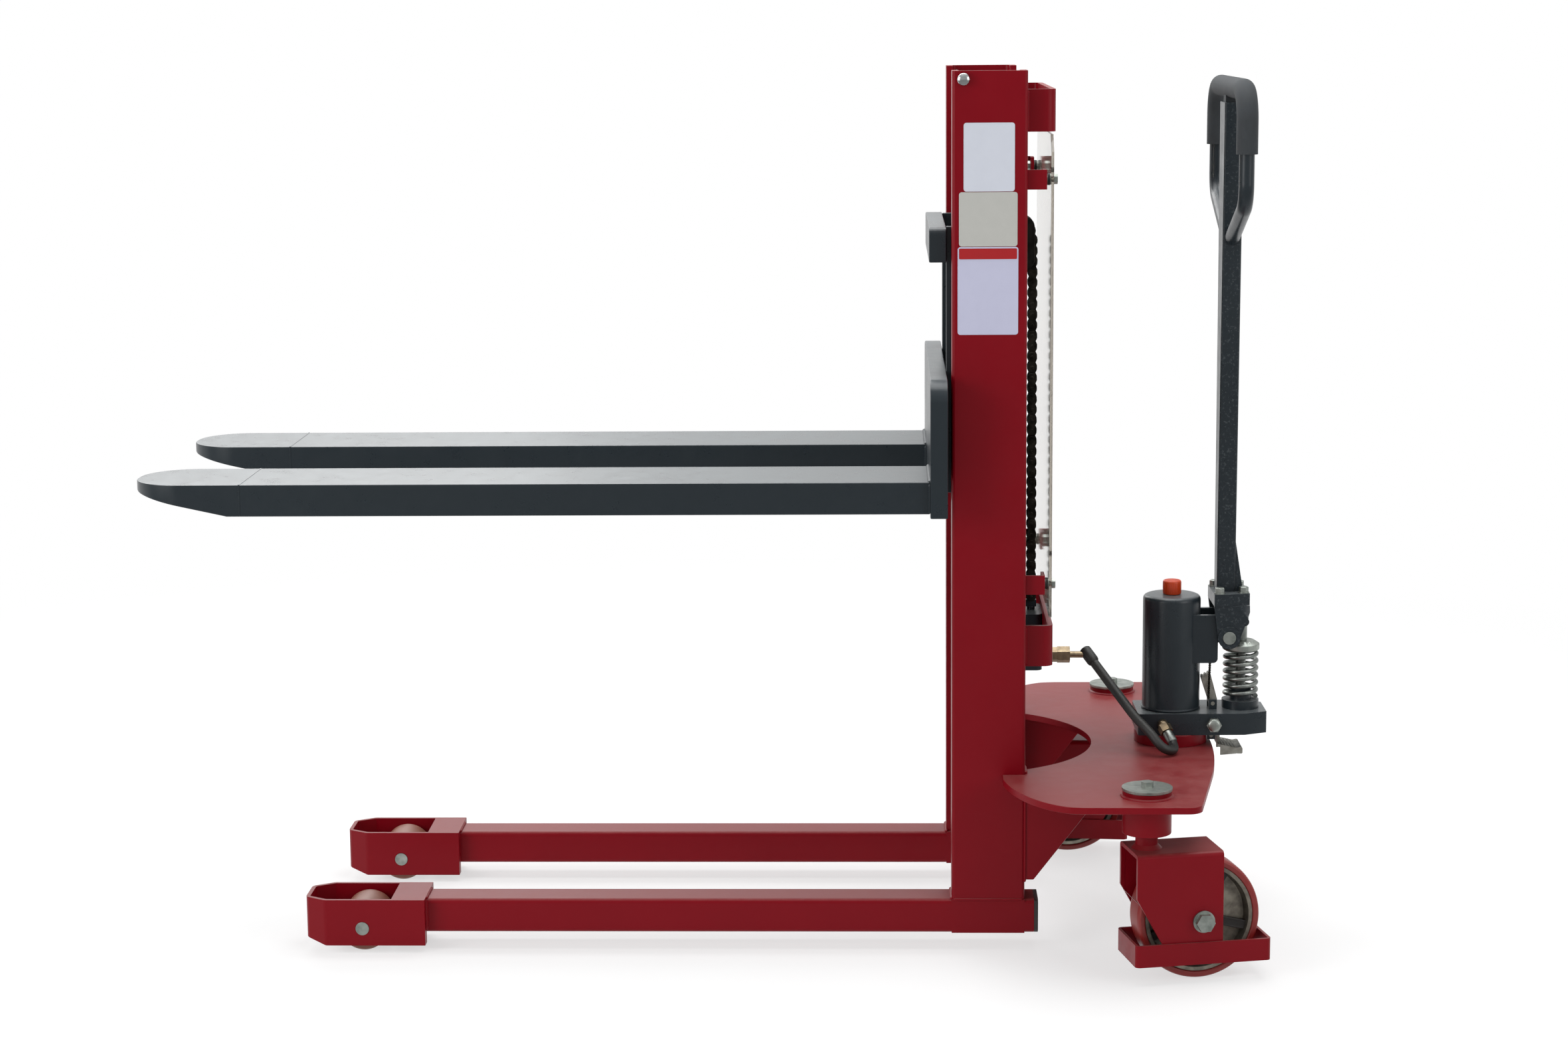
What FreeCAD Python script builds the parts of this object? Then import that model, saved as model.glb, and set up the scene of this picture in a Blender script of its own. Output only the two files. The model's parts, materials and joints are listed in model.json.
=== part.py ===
import FreeCAD, Part
import math
import os

# Hand pallet stacker, millimetres, +Z up. +X points to the operator, the forks reach to -X.
# While modelling, X is counted from the front face of the mast; keep() moves it to the middle of the machine.

# Clearances shared by every fit
RUNNING_FIT = 0.05
SEAT_FIT = 0.02
SIDE_PLAY = 0.4
WELD_GAP = 0.05

# Mast
MAST_HEIGHT = 1284.0
MAST_DEPTH = 107.0
MAST_SPAN = 432.0
MAST_WEB = 8.0
MAST_FLANGE = 10.0
FLANGE_WIDTH = 52.0
ROLLED_CORNER = 5.0
ROOT_RADIUS = 6.0
FLANGE_TIP_RADIUS = 2.0

# Legs and front rollers
LEG_WIDTH = 60.0
LEG_HEIGHT = 51.0
LEG_CLEARANCE = 26.0
LEG_WALL = 5.0
LEG_CORNER = 7.0
LEG_STUB = 14.0
END_CAP = 6.0
END_PLUG = 14.0
HOUSING_WIDTH = 95.0
HOUSING_WALL = 6.0
HOUSING_CLEARANCE = 11.0
HOUSING_COVER = 3.5
HOUSING_BACK = 93.0
HOUSING_NOSE = 86.0
NOSE_TAPER = 31.0
NOSE_WIDTH = 56.0
NOSE_LIFT = 8.0
BEND_RADIUS = 12.0
ROLLER_AXLE_REACH = 870.0
FRONT_ROLLER = 74.0
FRONT_ROLLER_WIDTH = 70.0
FRONT_HUB = 36.0
FRONT_CHAMFER = 3.0
FRONT_AXLE = 20.0
AXLE_END = 1.0

# Rear base plate, its gussets and bosses
BASE_TOP = 266.0
BASE_PLATE = 10.0
BASE_WIDTH = 808.0
BASE_HORN = 33.0
BASE_SHOULDER = 115.0
BASE_REAR = 418.4
BASE_CORNER_REAR = 345.0
BASE_CORNER_RADIUS = 22.0
BASE_TAIL_RADIUS = 1200.0
NOTCH_WIDTH = 370.0
NOTCH_DEPTH = 110.0
GUSSET = 10.0
GUSSET_REACH = 127.0
GUSSET_DROP = 149.0
GUSSET_TOE = 13.0
SHELF = 12.0
SHELF_TOP = 150.0
SHELF_TONGUE = 96.0
SHELF_BACK = 28.0

# Swivel casters
CASTER_X = 274.0
CASTER_INSET = 66.0
CASTER_TRAIL = 72.0
YAW_LEFT = 12.0
YAW_RIGHT = 175.0
WHEEL_DIAMETER = 180.0
WHEEL_WIDTH = 50.0
TREAD = 18.0
TREAD_ROUND = 5.0
RIM = 10.0
RIM_WIDTH = 46.0
HUB = 46.0
WHEEL_WEB = 12.0
SPOKES = 5
SPOKE_WIDTH = 24.0
WHEEL_AXLE = 16.0
YOKE_WIDTH = 88.0
YOKE_PLATE = 6.0
YOKE_HEIGHT = 191.0
YOKE_FRONT = 26.0
YOKE_REAR = 101.0
YOKE_BOTTOM = 48.0
YOKE_TOE = 18.0
YOKE_APRON = 127.0
YOKE_BEND = 7.0
GUARD_BAND = 4.0
GUARD_LOW = 28.0
GUARD_HIGH = 60.0
GUARD_PLAY = 6.0
STEM = 32.0
STEM_WELD = 6.0
BOSS = 70.0
BOSS_DROP = 43.0
BOSS_RISE = 9.0
CAP_WASHER = 72.0
CAP_PLATE = 4.0
CAP_BOLT = 16.0

# Straps and lugs behind the mast, clear guard
STRAP_DEPTH = 41.0
STRAP_WIDTH = 380.0
STRAP_PLATE = 8.0
STRAP_HEIGHT = 60.0
STRAP_BEND = 14.0
TOP_STRAP = 1197.0
STRAP_OVER_PORT = 23.0
LUG_DEPTH = 28.0
LUG_HEIGHT = 28.0
LUG_PLATE = 5.0
LUG_SPAN = 408.0
LUG_REACH = 34.0
LUG_HIGH = 1130.0
LUG_OVER_FOOT = 48.0
LUG_SPACER = 6.0
GUARD_SHEET = 4.0
GUARD_EDGE = 4.0
GUARD_TOP = 1193.0
GUARD_OVER_STRAP = 15.0
GUARD_CHAMFER = 24.0
GUARD_BOLT = 8.0
GUARD_BOLT_INSET = 16.0

# Lift cylinder, ram and chain
CYLINDER_X = 84.0
BARREL = 62.0
BARREL_BORE = 50.0
BARREL_TOP = 640.0
BARREL_FLOOR = 12.0
GLAND = 64.0
GLAND_HEIGHT = 22.0
GLAND_SPIGOT = 20.0
GLAND_CHAMFER = 3.0
RAM = 40.0
RAM_FOOT = 475.0
RAM_TOP = 975.0
CHAIN_PITCH = 15.875
WRAP_LINKS = 8
FRONT_LINKS = 9
LINK_HEIGHT = 15.0
LINK_WAIST = 10.5
LINK_PLATE = 2.0
LINK_PLAY = 0.3
CHAIN_ROLLER = 10.0
CHAIN_ROLLER_WIDTH = 9.6
PULLEY_RISE = 55.0
PULLEY_FLANGE = 1.6
PULLEY_LIP = 4.0
PULLEY_PIN = 20.0
CHEEK = 8.0
CHEEK_WIDTH = 86.0
CHEEK_ABOVE = 36.0
CHEEK_FOOT = 6.0
CHEEK_WAIST = 14.0
CHEEK_CROWN = 16.0
PORT_BLOCK_WIDTH = 90.0
PORT_MARGIN = 15.0
PORT_BLOCK_HEIGHT = 86.0
PORT_BLOCK_CORNER = 10.0
PORT_BLOCK_FRONT = 66.0
PORT_HEIGHT = 399.0
PORT_BORE = 12.0
PORT_DEPTH = 14.0
ANCHOR_STEM = 12.0
ANCHOR_EYE = 16.0

# Carriage and forks, at the height that the photograph shows
FORK_TOP = 707.0
FORK_LENGTH = 1150.0
FORK_SPAN = 546.0
FORK_WIDTH = 160.0
FORK_DEPTH = 46.0
FORK_WALL = 8.0
TIP_TAPER = 143.0
TIP_LIP = 15.0
TIP_RADIUS = 74.0
CARRIAGE_GAP = 7.0
CARRIAGE_PLATE = 25.0
LOWER_PLATE_MARGIN = 11.0
LOWER_PLATE_DROP = 51.0
LOWER_PLATE_RISE = 145.0
LOWER_PLATE_CORNER = 30.0
UPPER_BAR_WIDTH = 352.0
UPPER_BAR_BOTTOM = 304.0
UPPER_BAR_HEIGHT = 50.0
UPPER_BAR_CORNER = 10.0
SIDE_PLATE = 12.0
SIDE_PLATE_PLAY = 12.0
SIDE_PLATE_BACK = 84.0
SIDE_PLATE_FOOT = 17.0
SIDE_PLATE_SLOPE = 42.0
SIDE_PLATE_CORNER = 12.0
SIDE_PLATE_CROWN = 10.0
MAST_ROLLER_WIDTH = 28.0
MAST_ROLLER_CHAMFER = 2.5
ROLLER_AXLE = 24.0
ROLLER_SHOULDER = 36.0
AXLE_HEAD = 3.5
UPPER_ROLLER = 303.0
LOWER_ROLLER = 53.0
ANCHOR_BAR_DROP = 26.0
ANCHOR_BAR_HEIGHT = 30.0
ANCHOR_BAR_FRONT = 14.0
ANCHOR_BAR_BACK = 6.0

# Hand pump and handle, laid out from the pump axis and turned with it
PUMP_X = 338.0
PUMP_YAW = 1.0
PAD = 110.0
PAD_HEIGHT = 18.0
BLOCK_HEIGHT = 33.0
BLOCK_WIDTH = 96.0
BLOCK_FRONT = 54.0
BLOCK_REAR = 141.5
BLOCK_SHOULDER = 107.0
BLOCK_TAIL = 64.0
BLOCK_CORNER = 5.0
RESERVOIR = 87.0
RESERVOIR_HEIGHT = 175.5
RESERVOIR_ROUND = 7.0
RESERVOIR_WALL = 4.0
CAP = 28.0
CAP_HEIGHT = 22.0
CAP_SPIGOT = 18.0
CAP_FLUTES = 12
CAP_FLUTE = 2.4
PLUNGER_X = 105.5
PLUNGER = 15.0
PLUNGER_HEAD = 18.0
PLUNGER_FOOT = 322.0
COLLAR = 56.0
COLLAR_HEIGHT = 13.0
GUIDE = 33.0
GUIDE_TOP = 350.0
SPRING = 54.0
SPRING_WIRE = 7.0
SPRING_TURNS = 6
SPRING_LENGTH = 75.0
SPRING_SEAT = 56.0
SEAT_PLATE = 16.0
SEAT_FOOT = 4.0
SEAT_EDGE = 3.0
SEAT_SLOPE = 5.0
SEAT_CROWN = 8.0
PIVOT_X = 82.5
PIVOT_Z = 432.0
PIVOT_PIN = 19.6
PIVOT_BOSS = 34.0
LUG_GAP = 50.0
LUG = 8.0
LUG_BACK = 66.5
LUG_FOOT = 392.0
LUG_HEAD = 465.5
LUG_CORNER = 7.0
ROLLER_X = 106.5
ROLLER_Z = 455.0
PUMP_ROLLER = 18.0
ROLLER_PIN = 8.0
ROLLER_SPACER = 13.0
CHEEK_PLATE = 8.0
BOSS_STEP = 2.0
CHEEK_REACH = 12.0
YOKE_TOP = 490.5
YOKE_PAD = 10.0
FOOT_FLANGE = 8.0
FOOT_LENGTH = 54.0
FOOT_WIDTH = 82.0
FOOT_SHIFT = 7.0
FOOT_WAIST = 21.5
FOOT_TAIL = 64.0
FOOT_TAPER = 28.5
FOOT_BOLT = 8.0
FOOT_BOLT_INSET = 8.5
HANDLE_X = 79.5
HANDLE_TUBE = 28.0
HANDLE_FOOT = 32.0
HANDLE_HEAD = 58.0
HANDLE_WALL = 3.0
HANDLE_TOP = 1231.0
HANDLE_FLARE = 12.0
FLARE_HEIGHT = 96.0
LOOP_BAR = 22.0
LOOP_WIDTH = 340.0
LOOP_TOP = 1252.5
LOOP_CORNER = 45.0
LOOP_SHOULDER = 1092.0
LOOP_SHOULDER_RADIUS = 40.0
LOOP_ROOT = 1032.0
GRIP = 31.0
GRIP_END = 1162.0
LEVER_X = 62.0
LEVER_SHIFT = -4.8
LEVER_WIDTH = 16.0
LEVER_HEIGHT = 46.0
LEVER_ARM = 7.0
LEVER_PIN = 6.0
LEVER_LIFT = 9.0
EAR = 5.0
BEAD = 3.6
BEAD_COUNT = 17
PEDAL_X = 60.0
PEDAL_WIDTH = 54.0
PEDAL_SHEET = 4.0
PEDAL_PIN = 6.0
PEDAL_DROP = 7.0
PEDAL_ARM = 30.0
PEDAL_STEP_X = 69.5
PEDAL_STEP = 14.0
PEDAL_LENGTH = 24.5
PEDAL_FALL = 6.0
PEDAL_NOSE = 9.0
PEDAL_SKIRT = 17.0
PEDAL_RIBS = 5
LEVER_RIBS = 3

# Hose and screwed fittings
HOSE = 14.0
CRIMP = 17.0
CRIMP_BACK = 9.0
CRIMP_LENGTH = 14.0
CRIMP_AIM = (0.51, -0.59, -0.62)
HOSE_RUN = 116.0
HOSE_LEAD = 18.0
NUT = 20.0
NUT_LENGTH = 25.0
COUPLING = 22.0
COUPLING_LENGTH = 19.0
FERRULE = 10.0
FERRULE_LENGTH = 28.0
PUMP_PORT_X = -17.0
PUMP_PORT_RISE = 17.5
ELBOW_HEX = 18.0
ELBOW_LENGTH = 8.0
ELBOW_NUT = 14.0
ELBOW_FERRULE = 12.0
ELBOW_REACH = 26.0
ELBOW_AIM = (0.35, -0.70, -0.62)
STOP_BOLT = 10.0
STOP_BOLT_X = 16.0
STOP_BOLT_DROP = 12.0
STRAP_BOLT = 10.0
STRAP_BOLT_RISE = 32.0
PLUG = 20.0
PLUG_SHANK = 12.0
PLUG_X = 60.0

# Places that follow from the sizes above
LEG_TOP = LEG_CLEARANCE + LEG_HEIGHT
CASTER_SPAN = BASE_WIDTH - 2 * CASTER_INSET
LOW_STRAP = PORT_HEIGHT + STRAP_OVER_PORT
GUARD_FOOT = LOW_STRAP + STRAP_HEIGHT + GUARD_OVER_STRAP
LUG_LOW = GUARD_FOOT + LUG_OVER_FOOT
GUARD_WIDTH = LUG_SPAN - 2 * GUARD_EDGE
PORT_BLOCK_BOTTOM = PORT_HEIGHT - PORT_MARGIN
PORT_BLOCK_TOP = PORT_BLOCK_BOTTOM + PORT_BLOCK_HEIGHT
HOUSING_TOP = LEG_TOP + HOUSING_COVER
LEG_MIDDLE = (MAST_SPAN - LEG_WIDTH) / 2
LEG_REAR = MAST_DEPTH + LEG_STUB
HOUSING_REAR = HOUSING_BACK - ROLLER_AXLE_REACH
LEG_FRONT = FRONT_ROLLER / 2 - ROLLER_AXLE_REACH + BEND_RADIUS / 2
BASE_BOTTOM = BASE_TOP - BASE_PLATE
BOSS_BOTTOM = BASE_BOTTOM - BOSS_DROP
BOSS_TOP = BASE_TOP + BOSS_RISE
STEM_TOP = BOSS_TOP + SIDE_PLAY
STRAP_BACK = MAST_DEPTH + STRAP_DEPTH
STRAP_INSIDE = STRAP_BACK - STRAP_PLATE
PULLEY_RADIUS = CHAIN_PITCH / (2 * math.sin(math.pi / (2 * WRAP_LINKS)))
PULLEY_Z = RAM_TOP + PULLEY_RISE
CHAIN_REAR = CYLINDER_X + PULLEY_RADIUS
CHAIN_FRONT = CYLINDER_X - PULLEY_RADIUS
INNER_LINK = CHAIN_ROLLER_WIDTH + 2 * LINK_PLATE
OUTER_LINK = INNER_LINK + 2 * LINK_PLAY + 2 * LINK_PLATE
PULLEY_WIDTH = OUTER_LINK + 2 * LINK_PLAY + 2 * PULLEY_FLANGE
HEAD_GAP = PULLEY_WIDTH + 2 * SIDE_PLAY
REAR_LINKS = int((PULLEY_Z - PORT_BLOCK_TOP - ANCHOR_EYE) / CHAIN_PITCH)
REAR_ANCHOR = PULLEY_Z - REAR_LINKS * CHAIN_PITCH
FRONT_ANCHOR = PULLEY_Z - FRONT_LINKS * CHAIN_PITCH
PLATE_BACK = -CARRIAGE_GAP
PLATE_FACE = PLATE_BACK - CARRIAGE_PLATE
FORK_TIP = PLATE_FACE - FORK_LENGTH
FORK_INNER = FORK_SPAN / 2 - FORK_WIDTH
UPPER_BAR_LOW = FORK_TOP + UPPER_BAR_BOTTOM
UPPER_BAR_TOP = UPPER_BAR_LOW + UPPER_BAR_HEIGHT
SIDE_OUTER = MAST_SPAN / 2 - FLANGE_WIDTH - SIDE_PLATE_PLAY
SIDE_INNER = SIDE_OUTER - SIDE_PLATE
MAST_ROLLER = MAST_DEPTH - 2 * MAST_FLANGE - 2 * SIDE_PLAY
WEB_INNER = MAST_SPAN / 2 - MAST_WEB
BLOCK_LOW = BASE_TOP + PAD_HEIGHT
BLOCK_TOP = BLOCK_LOW + BLOCK_HEIGHT
RESERVOIR_TOP = BLOCK_TOP + RESERVOIR_HEIGHT
COLLAR_TOP = BLOCK_TOP + COLLAR_HEIGHT
SEAT_LOW = COLLAR_TOP + SPRING_LENGTH
SEAT_TOP = SEAT_LOW + SEAT_PLATE
HEAD_TOP = ROLLER_Z - PUMP_ROLLER / 2 - SIDE_PLAY
FOOT_TOP = YOKE_TOP + FOOT_FLANGE
MACHINE_REAR = (PUMP_X + BLOCK_REAR * math.cos(math.radians(PUMP_YAW))
                + BLOCK_TAIL / 2 * math.sin(math.radians(PUMP_YAW)))
MIDDLE_X = (FORK_TIP + MACHINE_REAR) / 2

# The hose runs straight down from its crimped end, past the pump, and turns back up into the valve block.
# Each point has its X and Y, and its height as a share of the drop from one fitting to the other.
HOSE_ROUTE = [
    (298.0, -100.0, 0.146),
    (314.0, -113.0, -0.035),
    (329.0, -108.0, -0.098),
]


def vec(x, y, z):
    return FreeCAD.Vector(x, y, z)


def block(x0, x1, y0, y1, z0, z1):
    """Box between two corners."""
    return Part.makeBox(x1 - x0, y1 - y0, z1 - z0, vec(x0, y0, z0))


def rod(diameter, start, end):
    """Round bar from one point to another."""
    axis = end.sub(start)
    return Part.makeCylinder(diameter / 2, axis.Length, start, axis)


def hex_bar(across, start, end):
    """Hexagonal bar, measured across its flats."""
    axis = end.sub(start)
    turn = FreeCAD.Rotation(vec(0, 0, 1), axis)
    corners = []
    for step in range(7):
        angle = math.radians(60 * step)
        corner = vec(math.cos(angle), math.sin(angle), 0).multiply(across / math.sqrt(3))
        corners.append(start.add(turn.multVec(corner)))
    return Part.Face(Part.makePolygon(corners)).extrude(axis)


def lift(axis, a, b, c):
    """Point of a profile drawn square to an axis, at c along that axis."""
    return {"x": vec(c, a, b), "y": vec(a, c, b), "z": vec(a, b, c)}[axis]


def slab(axis, corners, low, high):
    """Profile of (a, b, corner radius) points, drawn square to an axis and thickened along it."""
    edges = []
    ends = []
    count = len(corners)
    for index, (a, b, radius) in enumerate(corners):
        here = vec(a, b, 0)
        back = vec(*corners[index - 1][:2], 0).sub(here).normalize()
        ahead = vec(*corners[(index + 1) % count][:2], 0).sub(here).normalize()
        if radius <= 0:
            ends.append((here, None, here))
            continue
        half = back.getAngle(ahead) / 2
        reach = radius / math.tan(half)
        inward = back.add(ahead).normalize()
        middle = here.add(inward * (radius / math.sin(half) - radius))
        ends.append((here.add(back * reach), middle, here.add(ahead * reach)))
    for index, (first, middle, last) in enumerate(ends):
        if middle is not None:
            points = [lift(axis, p.x, p.y, low) for p in (first, middle, last)]
            edges.append(Part.Arc(*points).toShape())
        following = ends[(index + 1) % count][0]
        if last.distanceToPoint(following) > 1e-6:
            start = lift(axis, last.x, last.y, low)
            end = lift(axis, following.x, following.y, low)
            edges.append(Part.LineSegment(start, end).toShape())
    return Part.Face(Part.Wire(edges)).extrude(lift(axis, 0, 0, high - low))


def turned(profile, centre, axis):
    """Solid of revolution from (radius, distance along the axis) points."""
    side = vec(0, 0, 1).cross(axis)
    if side.Length < 0.5:
        side = vec(1, 0, 0)
    side.normalize()
    points = [centre.add(side * radius).add(axis * along) for radius, along in profile]
    face = Part.Face(Part.makePolygon(points + points[:1]))
    return face.revolve(centre, axis, 360)


def join(first, *others):
    """One solid from touching or crossing solids."""
    return first.fuse(list(others)).removeSplitter().Solids[0]


def other_side(shape):
    """Mirror image across the middle plane of the machine."""
    return shape.mirror(vec(0, 0, 0), vec(0, 1, 0))


def set_at(shape, yaw, x, y):
    """Copy of a shape that was drawn about the Z axis, turned and set in its place."""
    placed = shape.copy()
    placed.rotate(vec(0, 0, 0), vec(0, 0, 1), yaw)
    placed.translate(vec(x, y, 0))
    return placed


def at_pump(shape):
    return set_at(shape, PUMP_YAW, PUMP_X, 0)


def pump_point(x, y, z):
    """Place in the machine of a point given from the pump axis."""
    return FreeCAD.Rotation(vec(0, 0, 1), PUMP_YAW).multVec(vec(x, y, z)).add(vec(PUMP_X, 0, 0))


def bent_path(points, radii):
    """Straight runs joined by tangent arcs of the given radii at the inner points."""
    edges = []
    begin = points[0]
    for index, radius in enumerate(radii, start=1):
        here = points[index]
        back = points[index - 1].sub(here).normalize()
        ahead = points[index + 1].sub(here).normalize()
        half = back.getAngle(ahead) / 2
        reach = radius / math.tan(half)
        inward = back.add(ahead).normalize()
        first = here.add(back * reach)
        last = here.add(ahead * reach)
        edges.append(Part.LineSegment(begin, first).toShape())
        middle = here.add(inward * (radius / math.sin(half) - radius))
        edges.append(Part.Arc(first, middle, last).toShape())
        begin = last
    edges.append(Part.LineSegment(begin, points[-1]).toShape())
    return Part.Wire(edges)


def sweep(path, diameter):
    """Round bar along a path."""
    edge = path.OrderedEdges[0]
    start = edge.valueAt(edge.FirstParameter)
    tangent = edge.tangentAt(edge.FirstParameter)
    ring = Part.Wire(Part.Circle(start, tangent, diameter / 2).toShape())
    return path.makePipeShell([ring], True, False).Solids[0]


def soft_radii(points):
    """Largest even bends of a hose: 0.45 of the shorter run over the tangent of half the turn."""
    radii = []
    for before, here, after in zip(points, points[1:], points[2:]):
        back = before.sub(here)
        ahead = after.sub(here)
        half_turn = (math.pi - back.getAngle(ahead)) / 2
        radii.append(0.45 * min(back.Length, ahead.Length) / math.tan(half_turn))
    return radii


def keep(name, *solids):
    """Write one node, moved to the middle of the machine."""
    shape = Part.makeCompound(list(solids)) if len(solids) > 1 else solids[0]
    placed = shape.copy()
    placed.translate(vec(-MIDDLE_X, 0, 0))
    placed.exportStep("parts/" + name + ".step")


def mast():
    """Two C channels that stand on the leg tubes."""
    outer = MAST_SPAN / 2
    tip = outer - FLANGE_WIDTH
    back = MAST_DEPTH - MAST_FLANGE
    section = [
        (0, tip, 0),
        (0, outer, ROLLED_CORNER),
        (MAST_DEPTH, outer, ROLLED_CORNER),
        (MAST_DEPTH, tip, 0),
        (back, tip, FLANGE_TIP_RADIUS),
        (back, WEB_INNER, ROOT_RADIUS),
        (MAST_FLANGE, WEB_INNER, ROOT_RADIUS),
        (MAST_FLANGE, tip, FLANGE_TIP_RADIUS),
    ]
    channel = slab("z", section, LEG_TOP, MAST_HEIGHT)
    height = MAST_HEIGHT - STOP_BOLT_DROP
    hole = rod(STOP_BOLT + 2 * SEAT_FIT, vec(STOP_BOLT_X, tip, height), vec(STOP_BOLT_X, outer, height))
    channel = channel.cut(hole)
    keep("mast_channel_right", channel)
    keep("mast_channel_left", other_side(channel))


def legs():
    """Leg tubes with their plastic end caps."""
    inner = LEG_MIDDLE - LEG_WIDTH / 2
    outer = LEG_MIDDLE + LEG_WIDTH / 2
    shell = slab("x", [
        (inner, LEG_CLEARANCE, LEG_CORNER),
        (outer, LEG_CLEARANCE, LEG_CORNER),
        (outer, LEG_TOP, LEG_CORNER),
        (inner, LEG_TOP, LEG_CORNER),
    ], LEG_FRONT, LEG_REAR)
    foot = block(0, MAST_DEPTH, inner, outer, LEG_CLEARANCE, LEG_TOP)
    hollow = block(LEG_FRONT, LEG_REAR, inner + LEG_WALL, outer - LEG_WALL,
                   LEG_CLEARANCE + LEG_WALL, LEG_TOP - LEG_WALL)
    tube = join(shell, foot).cut(hollow)
    keep("leg_tube_right", tube)
    keep("leg_tube_left", other_side(tube))

    face = slab("x", [
        (inner, LEG_CLEARANCE, LEG_CORNER),
        (outer, LEG_CLEARANCE, LEG_CORNER),
        (outer, LEG_TOP, LEG_CORNER),
        (inner, LEG_TOP, LEG_CORNER),
    ], LEG_REAR, LEG_REAR + END_CAP)
    margin = LEG_WALL + SEAT_FIT
    plug = block(LEG_REAR - END_PLUG, LEG_REAR, inner + margin, outer - margin,
                 LEG_CLEARANCE + margin, LEG_TOP - margin)
    cap = join(face, plug)
    keep("leg_end_caps", cap, other_side(cap))


def roller_housings():
    """Housings of bent plate on the leg ends, their axle pins and rollers."""
    half = HOUSING_WIDTH / 2
    nose = -ROLLER_AXLE_REACH - HOUSING_NOSE
    shoulder = nose + NOSE_TAPER

    def plan(inset, back):
        side = half - inset
        tip = NOSE_WIDTH / 2 - inset * 0.5
        return [
            (back, LEG_MIDDLE - side, 0),
            (back, LEG_MIDDLE + side, 0),
            (shoulder + inset * 0.3, LEG_MIDDLE + side, BEND_RADIUS - inset),
            (nose + inset, LEG_MIDDLE + tip, BEND_RADIUS - inset),
            (nose + inset, LEG_MIDDLE - tip, BEND_RADIUS - inset),
            (shoulder + inset * 0.3, LEG_MIDDLE - side, BEND_RADIUS - inset),
        ]

    wall = slab("z", plan(0, HOUSING_REAR), HOUSING_CLEARANCE, HOUSING_TOP)
    well = slab("z", plan(HOUSING_WALL, HOUSING_REAR - HOUSING_WALL), HOUSING_CLEARANCE, LEG_TOP)
    mouth = slab("z", plan(HOUSING_WALL, LEG_FRONT), LEG_TOP, HOUSING_TOP)
    tube = block(LEG_FRONT, HOUSING_REAR, LEG_MIDDLE - LEG_WIDTH / 2, LEG_MIDDLE + LEG_WIDTH / 2,
                 HOUSING_CLEARANCE, LEG_TOP)
    ramp = slab("y", [
        (nose, HOUSING_CLEARANCE, 0),
        (shoulder, HOUSING_CLEARANCE, 0),
        (nose, HOUSING_CLEARANCE + NOSE_LIFT, 0),
    ], LEG_MIDDLE - half, LEG_MIDDLE + half)
    axle_z = FRONT_ROLLER / 2
    near = vec(-ROLLER_AXLE_REACH, LEG_MIDDLE - half - AXLE_END, axle_z)
    far = vec(-ROLLER_AXLE_REACH, LEG_MIDDLE + half + AXLE_END, axle_z)
    housing = wall.cut([well, mouth, tube, ramp, rod(FRONT_AXLE + 2 * SEAT_FIT, near, far)])
    keep("roller_housing_right", housing)
    keep("roller_housing_left", other_side(housing))
    pin = rod(FRONT_AXLE, near, far)
    keep("front_axle_pins", pin, other_side(pin))

    reach = half - HOUSING_WALL - SIDE_PLAY
    face = FRONT_ROLLER_WIDTH / 2
    bore = FRONT_AXLE / 2 + RUNNING_FIT
    rim = FRONT_ROLLER / 2
    roller = turned([
        (bore, -reach),
        (FRONT_HUB / 2, -reach),
        (FRONT_HUB / 2, -face),
        (rim - FRONT_CHAMFER, -face),
        (rim, FRONT_CHAMFER - face),
        (rim, face - FRONT_CHAMFER),
        (rim - FRONT_CHAMFER, face),
        (FRONT_HUB / 2, face),
        (FRONT_HUB / 2, reach),
        (bore, reach),
    ], vec(-ROLLER_AXLE_REACH, LEG_MIDDLE, axle_z), vec(0, 1, 0))
    keep("front_roller_right", roller)
    keep("front_roller_left", other_side(roller))


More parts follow.
